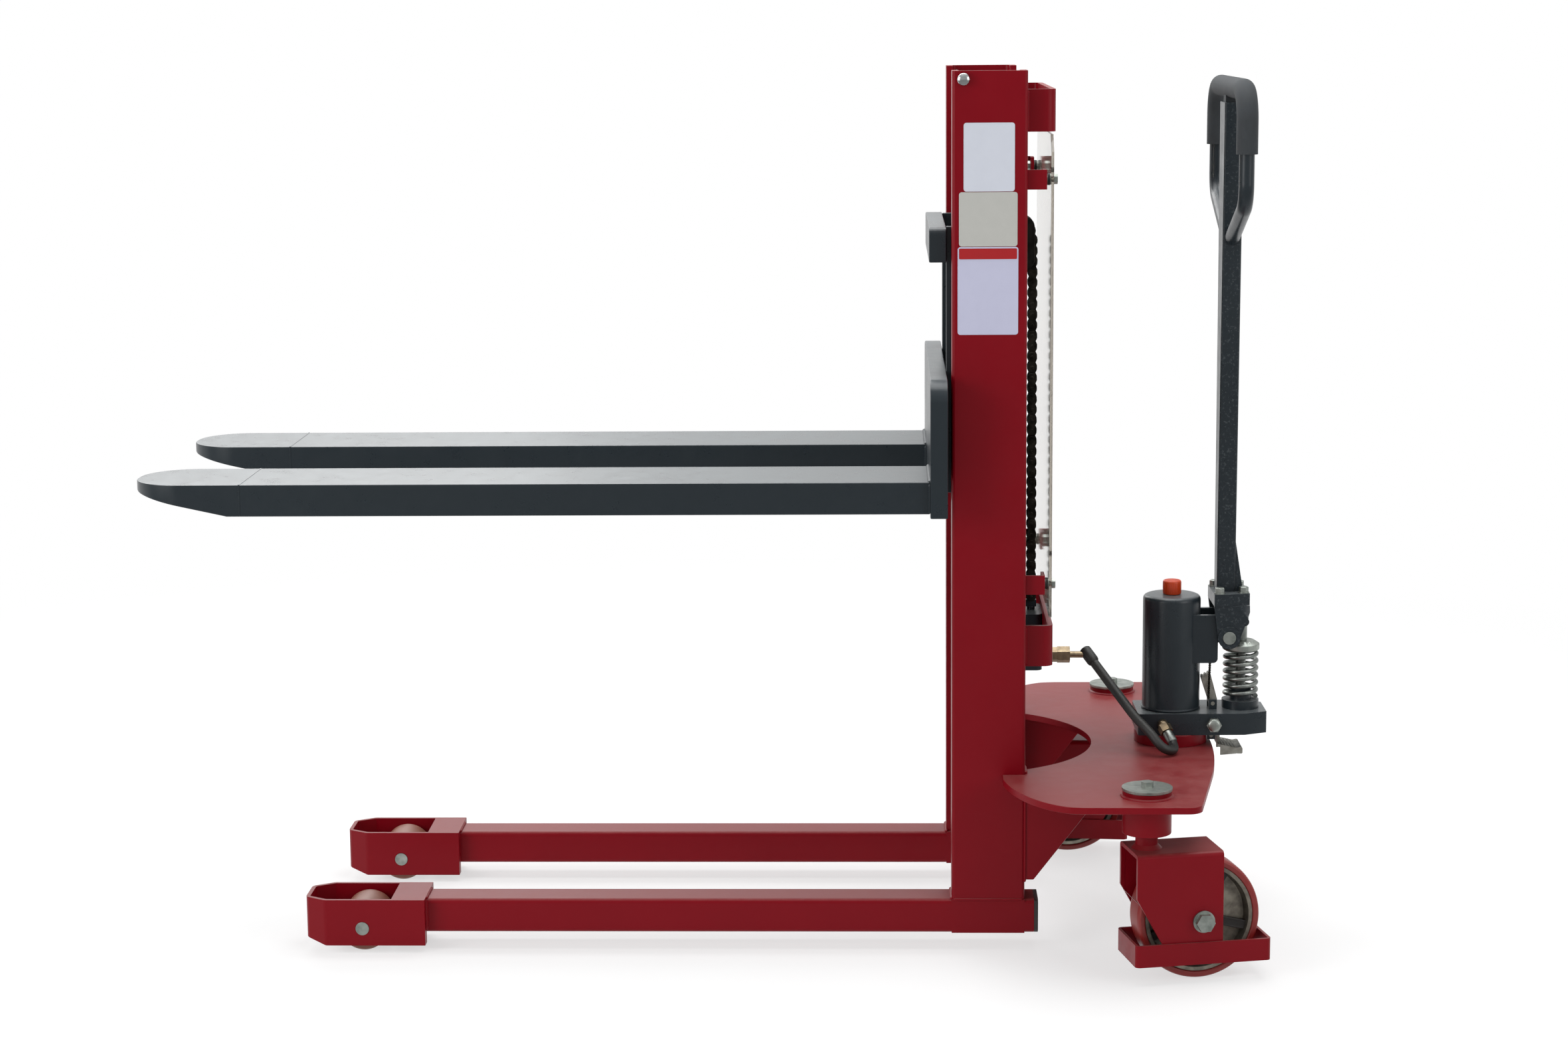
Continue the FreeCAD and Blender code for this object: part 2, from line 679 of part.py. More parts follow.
def base():
    """Rear base plate with its notch, gussets, cylinder shelf, kingpin bosses and pump pad."""
    edge = BASE_WIDTH / 2
    outer = MAST_SPAN / 2
    horn = MAST_DEPTH - BASE_HORN
    plate = slab("z", [
        (MAST_DEPTH, -outer, 0),
        (horn, -outer, 0),
        (horn, -edge, BASE_SHOULDER),
        (BASE_CORNER_REAR, -edge, BASE_CORNER_RADIUS),
        (BASE_REAR, 0, BASE_TAIL_RADIUS),
        (BASE_CORNER_REAR, edge, BASE_CORNER_RADIUS),
        (horn, edge, BASE_SHOULDER),
        (horn, outer, 0),
        (MAST_DEPTH, outer, 0),
    ], BASE_BOTTOM, BASE_TOP)
    radius = ((NOTCH_WIDTH / 2) ** 2 + NOTCH_DEPTH ** 2) / (2 * NOTCH_DEPTH)
    notch_x = MAST_DEPTH + NOTCH_DEPTH - radius
    notch = rod(2 * radius, vec(notch_x, 0, BASE_BOTTOM), vec(notch_x, 0, BASE_TOP))
    bosses = []
    plate = plate.cut(notch)
    for side in (-1, 1):
        y = side * CASTER_SPAN / 2
        low = vec(CASTER_X, y, BOSS_BOTTOM)
        high = vec(CASTER_X, y, BOSS_TOP)
        plate = plate.cut(rod(BOSS + 2 * SEAT_FIT, low, high))
        bosses.append(rod(BOSS, low, high).cut(rod(STEM + 2 * RUNNING_FIT, low, high)))
    keep("rear_base_plate", plate)
    pad = rod(PAD, vec(PUMP_X, 0, BASE_TOP), vec(PUMP_X, 0, BLOCK_LOW))
    keep("plate_bosses", pad, *bosses)

    gusset = slab("y", [
        (MAST_DEPTH, BASE_BOTTOM, 0),
        (MAST_DEPTH + GUSSET_REACH, BASE_BOTTOM, 0),
        (MAST_DEPTH + GUSSET_TOE, BASE_BOTTOM - GUSSET_DROP, 0),
        (MAST_DEPTH, BASE_BOTTOM - GUSSET_DROP, 0),
    ], outer - GUSSET, outer)
    inner = outer - GUSSET
    front = CYLINDER_X - SHELF_TONGUE / 2 + BARREL / 8
    shelf = slab("z", [
        (front, -SHELF_TONGUE / 2, BARREL / 3),
        (MAST_DEPTH, -SHELF_TONGUE / 2, 0),
        (MAST_DEPTH, -inner, 0),
        (MAST_DEPTH + SHELF_BACK, -inner, 0),
        (MAST_DEPTH + SHELF_BACK, inner, 0),
        (MAST_DEPTH, inner, 0),
        (MAST_DEPTH, SHELF_TONGUE / 2, 0),
        (front, SHELF_TONGUE / 2, BARREL / 3),
    ], SHELF_TOP - SHELF, SHELF_TOP)
    keep("base_gussets", gusset, other_side(gusset), shelf)


def rear_straps():
    """Hat-shaped straps and guard lugs welded behind the mast, and the clear guard."""
    half = STRAP_WIDTH / 2
    straps = []
    for low in (TOP_STRAP, LOW_STRAP):
        outside = slab("z", [
            (MAST_DEPTH, -half, 0),
            (STRAP_BACK, -half, STRAP_BEND),
            (STRAP_BACK, half, STRAP_BEND),
            (MAST_DEPTH, half, 0),
        ], low, low + STRAP_HEIGHT)
        inside = slab("z", [
            (MAST_DEPTH, STRAP_PLATE - half, 0),
            (STRAP_INSIDE, STRAP_PLATE - half, STRAP_BEND - STRAP_PLATE),
            (STRAP_INSIDE, half - STRAP_PLATE, STRAP_BEND - STRAP_PLATE),
            (MAST_DEPTH, half - STRAP_PLATE, 0),
        ], low, low + STRAP_HEIGHT)
        straps.append(outside.cut(inside))
    bolt_z = LOW_STRAP + STRAP_BOLT_RISE
    straps[1] = straps[1].cut(rod(STRAP_BOLT + 2 * SEAT_FIT, vec(STRAP_INSIDE, 0, bolt_z),
                                  vec(STRAP_BACK, 0, bolt_z)))

    face = MAST_DEPTH + LUG_DEPTH
    outer = LUG_SPAN / 2
    bolt_y = outer - GUARD_BOLT_INSET
    sheet_x = face + LUG_SPACER
    lugs = []
    bolts = []
    holes = []
    for z in (LUG_HIGH, LUG_LOW):
        low = z - LUG_HEIGHT / 2
        high = z + LUG_HEIGHT / 2
        side = block(MAST_DEPTH, face, outer - LUG_PLATE, outer, low, high)
        tab = block(face - LUG_PLATE, face, outer - LUG_REACH, outer, low, high)
        near = vec(face - LUG_PLATE, bolt_y, z)
        far = vec(sheet_x + GUARD_SHEET, bolt_y, z)
        hole = rod(GUARD_BOLT + 2 * SEAT_FIT, near, far)
        lug = join(side, tab).cut(hole)
        nut = hex_bar(1.6 * GUARD_BOLT, vec(near.x - 0.8 * GUARD_BOLT, bolt_y, z), near)
        head = hex_bar(1.6 * GUARD_BOLT, far, vec(far.x + 0.7 * GUARD_BOLT, bolt_y, z))
        spacer = rod(2 * GUARD_BOLT, vec(face, bolt_y, z), vec(sheet_x, bolt_y, z))
        bolt = join(rod(GUARD_BOLT, near, far), nut, head, spacer)
        lugs += [lug, other_side(lug)]
        bolts += [bolt, other_side(bolt)]
        holes += [hole, other_side(hole)]
    keep("rear_braces", *straps, *lugs)

    width = GUARD_WIDTH / 2
    sheet = slab("x", [
        (-width, GUARD_FOOT, 0),
        (width, GUARD_FOOT, 0),
        (width, GUARD_TOP - GUARD_CHAMFER, 0),
        (width - GUARD_CHAMFER, GUARD_TOP, 0),
        (GUARD_CHAMFER - width, GUARD_TOP, 0),
        (-width, GUARD_TOP - GUARD_CHAMFER, 0),
    ], sheet_x, sheet_x + GUARD_SHEET)
    keep("guard_sheet", sheet.cut(holes))
    return bolts


def stop_bolts():
    """Bolts through the mast webs that stop the carriage at the top."""
    z = MAST_HEIGHT - STOP_BOLT_DROP
    outer = MAST_SPAN / 2
    web_out = vec(STOP_BOLT_X, outer, z)
    head = hex_bar(1.6 * STOP_BOLT, web_out, vec(STOP_BOLT_X, outer + 0.7 * STOP_BOLT, z))
    bolt = join(rod(STOP_BOLT, vec(STOP_BOLT_X, WEB_INNER - 2 * STOP_BOLT, z), web_out), head)
    return [bolt, other_side(bolt)]


def strap_bolt():
    """Bolt that ties the lower strap to the port block."""
    z = LOW_STRAP + STRAP_BOLT_RISE
    head = hex_bar(1.6 * STRAP_BOLT, vec(STRAP_BACK, 0, z), vec(STRAP_BACK + 0.7 * STRAP_BOLT, 0, z))
    return join(rod(STRAP_BOLT, vec(STRAP_INSIDE - PORT_DEPTH, 0, z), vec(STRAP_BACK, 0, z)), head)


def lift_cylinder():
    """Barrel, gland and port block with the rear chain anchor."""
    axis = vec(0, 0, 1)
    foot = vec(CYLINDER_X, 0, 0)
    barrel = turned([
        (0, SHELF_TOP),
        (BARREL / 2, SHELF_TOP),
        (BARREL / 2, BARREL_TOP),
        (BARREL_BORE / 2, BARREL_TOP),
        (BARREL_BORE / 2, SHELF_TOP + BARREL_FLOOR),
        (0, SHELF_TOP + BARREL_FLOOR),
    ], foot, axis)
    keep("cylinder_barrel", barrel)
    gland_top = BARREL_TOP + GLAND_HEIGHT
    bore = RAM / 2 + RUNNING_FIT
    spigot = BARREL_BORE / 2 - SEAT_FIT
    gland = turned([
        (bore, BARREL_TOP - GLAND_SPIGOT),
        (spigot, BARREL_TOP - GLAND_SPIGOT),
        (spigot, BARREL_TOP),
        (GLAND / 2, BARREL_TOP),
        (GLAND / 2, gland_top - GLAND_CHAMFER),
        (GLAND / 2 - GLAND_CHAMFER, gland_top),
        (bore, gland_top),
    ], foot, axis)
    keep("cylinder_gland", gland)

    half = PORT_BLOCK_WIDTH / 2
    body = slab("z", [
        (PORT_BLOCK_FRONT, -half, 0),
        (STRAP_INSIDE, -half, PORT_BLOCK_CORNER),
        (STRAP_INSIDE, half, PORT_BLOCK_CORNER),
        (PORT_BLOCK_FRONT, half, 0),
    ], PORT_BLOCK_BOTTOM, PORT_BLOCK_TOP)
    seat = rod(BARREL + 2 * SEAT_FIT, vec(CYLINDER_X, 0, PORT_BLOCK_BOTTOM), vec(CYLINDER_X, 0, PORT_BLOCK_TOP))
    port = rod(PORT_BORE + 2 * SEAT_FIT, vec(STRAP_INSIDE - PORT_DEPTH, 0, PORT_HEIGHT),
               vec(STRAP_INSIDE, 0, PORT_HEIGHT))
    tie_z = LOW_STRAP + STRAP_BOLT_RISE
    tie = rod(STRAP_BOLT + 2 * SEAT_FIT, vec(STRAP_INSIDE - PORT_DEPTH, 0, tie_z), vec(STRAP_INSIDE, 0, tie_z))
    body = body.cut([seat, port, tie])
    keep("cylinder_port_block", body, chain_anchor(CHAIN_REAR, PORT_BLOCK_TOP, REAR_ANCHOR))


def chain_anchor(x, floor, pin_z):
    """Eye bolt that holds a chain end between its link plates."""
    neck = rod(ANCHOR_STEM, vec(x, 0, floor), vec(x, 0, pin_z - CHAIN_PITCH))
    eye_half = (CHAIN_ROLLER_WIDTH - LINK_PLAY) / 2
    top = pin_z - CHAIN_ROLLER / 2 - LINK_PLAY
    tongue = block(x - ANCHOR_EYE / 2, x + ANCHOR_EYE / 2, -eye_half, eye_half, pin_z - CHAIN_PITCH, top)
    return join(neck, tongue)


def link_outline():
    """Half-waisted plate of one chain link, along its own pitch."""
    tall = LINK_HEIGHT / 2
    waist = LINK_WAIST / 2
    reach = CHAIN_PITCH / 2
    bevel = tall * 0.55
    return [
        (-bevel, -reach - tall),
        (bevel, -reach - tall),
        (tall, -reach),
        (waist, 0),
        (tall, reach),
        (bevel, reach + tall),
        (-bevel, reach + tall),
        (-tall, reach),
        (-waist, 0),
        (-tall, -reach),
    ]


def chain_link(start, end, outer):
    """One link between two pins: an outer pair of plates, or an inner pair on its rollers."""
    along = end.sub(start).normalize()
    across = vec(0, 1, 0).cross(along)
    middle = start.add(end).multiply(0.5)
    shrink = 0 if outer else LINK_PLAY
    near = (OUTER_LINK if outer else INNER_LINK) / 2
    plates = []
    for low in (near - LINK_PLATE, -near):
        points = []
        for a, b in link_outline():
            limit = CHAIN_PITCH / 2 + LINK_HEIGHT / 2 - shrink
            b = max(-limit, min(limit, b))
            points.append(middle.add(across * a).add(along * b).add(vec(0, low, 0)))
        points.append(points[0])
        plates.append(Part.Face(Part.makePolygon(points)).extrude(vec(0, LINK_PLATE, 0)))
    if outer:
        return plates
    width = vec(0, CHAIN_ROLLER_WIDTH / 2, 0)
    rollers = [hex_bar(CHAIN_ROLLER, pin.sub(width), pin.add(width)) for pin in (start, end)]
    return [join(*plates, *rollers)]


def chain_run(pins, first_outer):
    """Links along a row of pins, outer and inner by turns."""
    links = []
    for index, (start, end) in enumerate(zip(pins, pins[1:])):
        links += chain_link(start, end, (index % 2 == 0) == first_outer)
    return links


def lift_chain():
    """Chain from the port block over the pulley to the carriage."""
    rear = [vec(CHAIN_REAR, 0, REAR_ANCHOR + CHAIN_PITCH * k) for k in range(REAR_LINKS + 1)]
    front = [vec(CHAIN_FRONT, 0, FRONT_ANCHOR + CHAIN_PITCH * k) for k in range(FRONT_LINKS + 1)]
    wrap = []
    for k in range(WRAP_LINKS + 1):
        angle = math.pi * k / WRAP_LINKS
        wrap.append(vec(CYLINDER_X + PULLEY_RADIUS * math.cos(angle), 0,
                        PULLEY_Z + PULLEY_RADIUS * math.sin(angle)))
    arc_outer = REAR_LINKS % 2 == 0
    all_links = REAR_LINKS + WRAP_LINKS + FRONT_LINKS
    keep("chain_rear_strand", *chain_run(rear, True))
    keep("chain_wrap", *chain_run(wrap, arc_outer))
    keep("chain_front_strand", *chain_run(front, all_links % 2 == 1))


def ram():
    """Ram, its forked head with the pulley pin, and the chain pulley."""
    keep("lift_rod", rod(RAM, vec(CYLINDER_X, 0, RAM_FOOT), vec(CYLINDER_X, 0, RAM_TOP)))
    inner = HEAD_GAP / 2
    outer = inner + CHEEK
    half = CHEEK_WIDTH / 2
    crown = PULLEY_Z + CHEEK_ABOVE
    bridge = block(CYLINDER_X - RAM / 2 - 2, CYLINDER_X + RAM / 2 + 2, -outer, outer,
                   RAM_TOP, PULLEY_Z - PULLEY_RADIUS - PULLEY_LIP - SIDE_PLAY)
    cheeks = []
    for low in (inner, -outer):
        cheeks.append(slab("y", [
            (CYLINDER_X - half * 0.6, RAM_TOP, CHEEK_FOOT),
            (CYLINDER_X + half * 0.6, RAM_TOP, CHEEK_FOOT),
            (CYLINDER_X + half, RAM_TOP + PULLEY_RISE * 0.4, CHEEK_WAIST),
            (CYLINDER_X + half, crown, CHEEK_CROWN),
            (CYLINDER_X - half, crown, CHEEK_CROWN),
            (CYLINDER_X - half, RAM_TOP + PULLEY_RISE * 0.4, CHEEK_WAIST),
        ], low, low + CHEEK))
    near = vec(CYLINDER_X, -outer - AXLE_END, PULLEY_Z)
    far = vec(CYLINDER_X, outer + AXLE_END, PULLEY_Z)
    head = join(bridge, *cheeks).cut(rod(PULLEY_PIN + 2 * SEAT_FIT, near, far))
    keep("rod_head", head, rod(PULLEY_PIN, near, far))

    tread = PULLEY_RADIUS - LINK_HEIGHT / 2 - SIDE_PLAY
    lip = PULLEY_RADIUS + PULLEY_LIP
    face = PULLEY_WIDTH / 2
    throat = face - PULLEY_FLANGE
    bore = PULLEY_PIN / 2 + RUNNING_FIT
    pulley = turned([
        (bore, -face),
        (lip, -face),
        (lip, -throat),
        (tread, -throat),
        (tread, throat),
        (lip, throat),
        (lip, face),
        (bore, face),
    ], vec(CYLINDER_X, 0, PULLEY_Z), vec(0, 1, 0))
    keep("chain_pulley", pulley)


def fork():
    """One fork: an inverted channel with a rounded, tapered tip."""
    outer = FORK_SPAN / 2
    base_z = FORK_TOP - FORK_DEPTH
    plan = slab("z", [
        (PLATE_FACE, FORK_INNER, 0),
        (PLATE_FACE, outer, 0),
        (FORK_TIP, outer, TIP_RADIUS),
        (FORK_TIP, FORK_INNER, TIP_RADIUS),
    ], base_z, FORK_TOP)
    side = slab("y", [
        (PLATE_FACE, base_z, 0),
        (PLATE_FACE, FORK_TOP, 0),
        (FORK_TIP, FORK_TOP, 0),
        (FORK_TIP, FORK_TOP - TIP_LIP, 0),
        (FORK_TIP + TIP_TAPER, base_z, 0),
    ], FORK_INNER, outer)
    hollow = slab("z", [
        (PLATE_FACE, FORK_INNER + FORK_WALL, 0),
        (PLATE_FACE, outer - FORK_WALL, 0),
        (FORK_TIP + FORK_WALL, outer - FORK_WALL, TIP_RADIUS - FORK_WALL),
        (FORK_TIP + FORK_WALL, FORK_INNER + FORK_WALL, TIP_RADIUS - FORK_WALL),
    ], base_z, FORK_TOP - FORK_WALL)
    return plan.common(side).cut(hollow).Solids[0]


def carriage():
    """Forks, plates, chain anchor bar and mast rollers that rise together."""
    right = fork()
    keep("fork_right", right)
    keep("fork_left", other_side(right))

    half = FORK_SPAN / 2 + LOWER_PLATE_MARGIN
    low = FORK_TOP - LOWER_PLATE_DROP
    plate = slab("x", [
        (-half, low, 0),
        (half, low, 0),
        (half, FORK_TOP + LOWER_PLATE_RISE, LOWER_PLATE_CORNER),
        (-half, FORK_TOP + LOWER_PLATE_RISE, LOWER_PLATE_CORNER),
    ], PLATE_FACE, PLATE_BACK)
    leg_way = block(PLATE_FACE, PLATE_BACK, FORK_INNER + FORK_WALL, FORK_SPAN / 2 - FORK_WALL,
                    low, FORK_TOP - FORK_WALL)
    keep("carriage_lower_plate", plate.cut([leg_way, other_side(leg_way)]))
    bar = UPPER_BAR_WIDTH / 2
    keep("carriage_upper_bar", slab("x", [
        (-bar, UPPER_BAR_LOW, 0),
        (bar, UPPER_BAR_LOW, 0),
        (bar, UPPER_BAR_TOP, UPPER_BAR_CORNER),
        (-bar, UPPER_BAR_TOP, UPPER_BAR_CORNER),
    ], PLATE_FACE, PLATE_BACK))

    rollers_x = MAST_DEPTH / 2
    heights = (FORK_TOP + UPPER_ROLLER, FORK_TOP + LOWER_ROLLER)
    side = slab("y", [
        (PLATE_BACK, low + SIDE_PLATE_FOOT, 0),
        (rollers_x, low + SIDE_PLATE_FOOT, 0),
        (SIDE_PLATE_BACK, heights[1] - ROLLER_SHOULDER / 2, SIDE_PLATE_CORNER),
        (SIDE_PLATE_BACK, UPPER_BAR_TOP - SIDE_PLATE_SLOPE, SIDE_PLATE_CORNER),
        (rollers_x / 3, UPPER_BAR_TOP, SIDE_PLATE_CROWN),
        (PLATE_BACK, UPPER_BAR_TOP, 0),
    ], SIDE_INNER, SIDE_OUTER)
    axles = []
    roller_in = (SIDE_OUTER + WEB_INNER - MAST_ROLLER_WIDTH) / 2
    roller_out = roller_in + MAST_ROLLER_WIDTH
    for z, name in zip(heights, ("upper_mast_rollers", "lower_mast_rollers")):
        centre = vec(rollers_x, 0, z)
        side = side.cut(pin_across(ROLLER_AXLE + 2 * SEAT_FIT, rollers_x, z, SIDE_INNER, SIDE_OUTER))
        thin = ROLLER_AXLE / 2
        shoulder = ROLLER_SHOULDER / 2
        axle = turned([
            (0, SIDE_INNER),
            (thin, SIDE_INNER),
            (thin, SIDE_OUTER),
            (shoulder, SIDE_OUTER),
            (shoulder, roller_in - SIDE_PLAY),
            (thin, roller_in - SIDE_PLAY),
            (thin, roller_out + SIDE_PLAY),
            (shoulder, roller_out + SIDE_PLAY),
            (shoulder, roller_out + SIDE_PLAY + AXLE_HEAD),
            (0, roller_out + SIDE_PLAY + AXLE_HEAD),
        ], centre, vec(0, 1, 0))
        axles += [axle, other_side(axle)]
        rim = MAST_ROLLER / 2
        bore = thin + RUNNING_FIT
        roller = turned([
            (bore, roller_in),
            (rim - MAST_ROLLER_CHAMFER, roller_in),
            (rim, roller_in + MAST_ROLLER_CHAMFER),
            (rim, roller_out - MAST_ROLLER_CHAMFER),
            (rim - MAST_ROLLER_CHAMFER, roller_out),
            (bore, roller_out),
        ], centre, vec(0, 1, 0))
        keep(name, roller, other_side(roller))
    keep("carriage_side_plates", side, other_side(side))
    keep("roller_axles", *axles)

    bar_top = FRONT_ANCHOR - ANCHOR_BAR_DROP
    cross = block(CHAIN_FRONT - ANCHOR_BAR_FRONT, CHAIN_FRONT + ANCHOR_BAR_BACK, -SIDE_INNER, SIDE_INNER,
                  bar_top - ANCHOR_BAR_HEIGHT, bar_top)
    keep("chain_anchor_bar", join(cross, chain_anchor(CHAIN_FRONT, bar_top, FRONT_ANCHOR)))


def caster_yoke():
    """Hood of bent plate with its welded stem, and the foot guard band, drawn about the kingpin."""
    half = YOKE_WIDTH / 2
    profile = [
        (-YOKE_FRONT, YOKE_APRON, 0),
        (YOKE_TOE, YOKE_BOTTOM, 0),
        (YOKE_REAR, YOKE_BOTTOM, 0),
        (YOKE_REAR, YOKE_HEIGHT, 0),
        (-YOKE_FRONT, YOKE_HEIGHT, 0),
    ]
    hood = slab("y", profile, -half, half)
    crown = [edge for edge in hood.Edges
             if edge.BoundBox.ZMin > YOKE_HEIGHT - 1e-3 and edge.BoundBox.YLength < 1e-3]
    hood = hood.makeFillet(YOKE_BEND, crown)
    inside = block(YOKE_PLATE - YOKE_FRONT, YOKE_REAR, YOKE_PLATE - half, half - YOKE_PLATE,
                   YOKE_BOTTOM, YOKE_HEIGHT - YOKE_PLATE)
    hood = hood.cut(inside)
    stem = rod(STEM, vec(0, 0, YOKE_HEIGHT), vec(0, 0, STEM_TOP))
    bead = Part.makeCone(STEM / 2 + STEM_WELD, STEM / 2, STEM_WELD, vec(0, 0, YOKE_HEIGHT), vec(0, 0, 1))
    axle_z = WHEEL_DIAMETER / 2
    hole = rod(WHEEL_AXLE + 2 * SEAT_FIT, vec(CASTER_TRAIL, -half, axle_z), vec(CASTER_TRAIL, half, axle_z))
    yoke = join(hood, stem, bead).cut(hole)

    reach = WHEEL_DIAMETER / 2 + GUARD_PLAY + GUARD_BAND
    wide = half + GUARD_BAND
    outline = [
        (CASTER_TRAIL - reach, -wide, YOKE_BEND),
        (CASTER_TRAIL + reach, -wide, YOKE_BEND),
        (CASTER_TRAIL + reach, wide, YOKE_BEND),
        (CASTER_TRAIL - reach, wide, YOKE_BEND),
    ]
    inner = [
        (CASTER_TRAIL - reach + GUARD_BAND, -half, YOKE_BEND - GUARD_BAND),
        (CASTER_TRAIL + reach - GUARD_BAND, -half, YOKE_BEND - GUARD_BAND),
        (CASTER_TRAIL + reach - GUARD_BAND, half, YOKE_BEND - GUARD_BAND),
        (CASTER_TRAIL - reach + GUARD_BAND, half, YOKE_BEND - GUARD_BAND),
    ]
    band = slab("z", outline, GUARD_LOW, GUARD_HIGH).cut(slab("z", inner, GUARD_LOW, GUARD_HIGH))
    return [yoke, band]


def caster_bolts():
    """Cap washer with its bolt on the stem, and the wheel's axle bolt, drawn about the kingpin."""
    cap_top = STEM_TOP + CAP_PLATE
    washer = rod(CAP_WASHER, vec(0, 0, STEM_TOP), vec(0, 0, cap_top))
    head = hex_bar(CAP_BOLT, vec(0, 0, cap_top), vec(0, 0, cap_top + CAP_BOLT * 0.5))
    cap = join(washer, head)
    half = YOKE_WIDTH / 2
    wide = 1.5 * WHEEL_AXLE
    z = WHEEL_DIAMETER / 2
    shank = rod(WHEEL_AXLE, vec(CASTER_TRAIL, -half, z), vec(CASTER_TRAIL, half, z))
    pieces = [shank]
    for side in (-1, 1):
        face = vec(CASTER_TRAIL, side * half, z)
        flat = vec(CASTER_TRAIL, side * (half + 0.2 * WHEEL_AXLE), z)
        top = vec(CASTER_TRAIL, side * (half + 0.8 * WHEEL_AXLE), z)
        pieces.append(rod(2 * WHEEL_AXLE, face, flat))
        pieces.append(hex_bar(wide, flat, top))
    return [cap, join(*pieces)]


def caster_wheel():
    """Cast hub with open spokes and its bonded tread, drawn about the kingpin."""
    centre = vec(CASTER_TRAIL, 0, WHEEL_DIAMETER / 2)
    axis = vec(0, 1, 0)
    rim = WHEEL_DIAMETER / 2 - TREAD
    reach = YOKE_WIDTH / 2 - YOKE_PLATE - SIDE_PLAY
    bore = WHEEL_AXLE / 2 + RUNNING_FIT
    boss = turned([(bore, -reach), (HUB / 2, -reach), (HUB / 2, reach), (bore, reach)], centre, axis)
    well = rim - RIM
    ring = turned([
        (well, -RIM_WIDTH / 2),
        (rim, -RIM_WIDTH / 2),
        (rim, RIM_WIDTH / 2),
        (well, RIM_WIDTH / 2),
    ], centre, axis)
    spokes = []
    for step in range(SPOKES):
        spoke = block(HUB / 2 - 3, well + 3, -WHEEL_WEB / 2, WHEEL_WEB / 2, -SPOKE_WIDTH / 2, SPOKE_WIDTH / 2)
        spoke.rotate(vec(0, 0, 0), axis, 360 * step / SPOKES)
        spoke.translate(centre)
        spokes.append(spoke)
    hub = join(boss, ring, *spokes)
    face = WHEEL_WIDTH / 2
    tread = turned([
        (rim, -face),
        (WHEEL_DIAMETER / 2 - TREAD_ROUND, -face),
        (WHEEL_DIAMETER / 2 - TREAD_ROUND * 0.3, TREAD_ROUND * 0.3 - face),
        (WHEEL_DIAMETER / 2, TREAD_ROUND - face),
        (WHEEL_DIAMETER / 2, face - TREAD_ROUND),
        (WHEEL_DIAMETER / 2 - TREAD_ROUND * 0.3, face - TREAD_ROUND * 0.3),
        (WHEEL_DIAMETER / 2 - TREAD_ROUND, face),
        (rim, face),
    ], centre, axis)
    return [hub, tread]


def casters():
    """Both swivel casters, each set at its own turn."""
    pieces = (("caster_yoke", caster_yoke()), ("caster_bolts", caster_bolts()), ("caster_wheel", caster_wheel()))
    for side, sign, yaw in (("left", -1, YAW_LEFT), ("right", 1, YAW_RIGHT)):
        for name, solids in pieces:
            placed = [set_at(solid, yaw, CASTER_X, sign * CASTER_SPAN / 2) for solid in solids]
            keep(name + "_" + side, *placed)


def spring_path(radius, low, high, turns):
    """Coil from low to high as tangent arcs, two to each quarter turn."""
    steps = 4 * turns
    rise = (high - low) / (2 * math.pi * turns)
    knots = []
    for step in range(steps + 1):
        angle = 2 * math.pi * turns * step / steps
        place = vec(radius * math.cos(angle), radius * math.sin(angle), low + rise * angle)
        heading = vec(-radius * math.sin(angle), radius * math.cos(angle), rise).normalize()
        knots.append((place, heading))
    edges = []
    for (p0, t0), (p1, t1) in zip(knots, knots[1:]):
        chord = p1.sub(p0)
        both = t0.add(t1)
        slack = chord.dot(both)
        spread = 2 * (1 - t0.dot(t1))
        reach = (math.sqrt(slack * slack + spread * chord.dot(chord)) - slack) / spread
        join_at = p0.add(t0 * reach).add(p1.sub(t1 * reach)).multiply(0.5)
        edges.append(tangent_arc(p0, t0, join_at))
        edges.append(tangent_arc(p1, t1.negative(), join_at, True))
    return Part.Wire(edges)


def tangent_arc(start, heading, end, backwards=False):
    """Arc that leaves a point along a heading and ends at another point."""
    chord = end.sub(start)
    normal = chord.sub(heading * chord.dot(heading))
    radius = chord.dot(chord) / (2 * normal.Length)
    centre = start.add(normal.normalize() * radius)
    outward = start.add(end).multiply(0.5).sub(centre).normalize()
    middle = centre.add(outward * radius)
    ends = (end, middle, start) if backwards else (start, middle, end)
    return Part.Arc(*ends).toShape()


def least_gap(path, turns, wire):
    """Least clear distance between neighbouring turns, measured on points."""
    points = path.discretize(Number=36 * turns + 1)
    return min(a.distanceToPoint(b) for k, a in enumerate(points) for b in points[k + 18:]) - wire


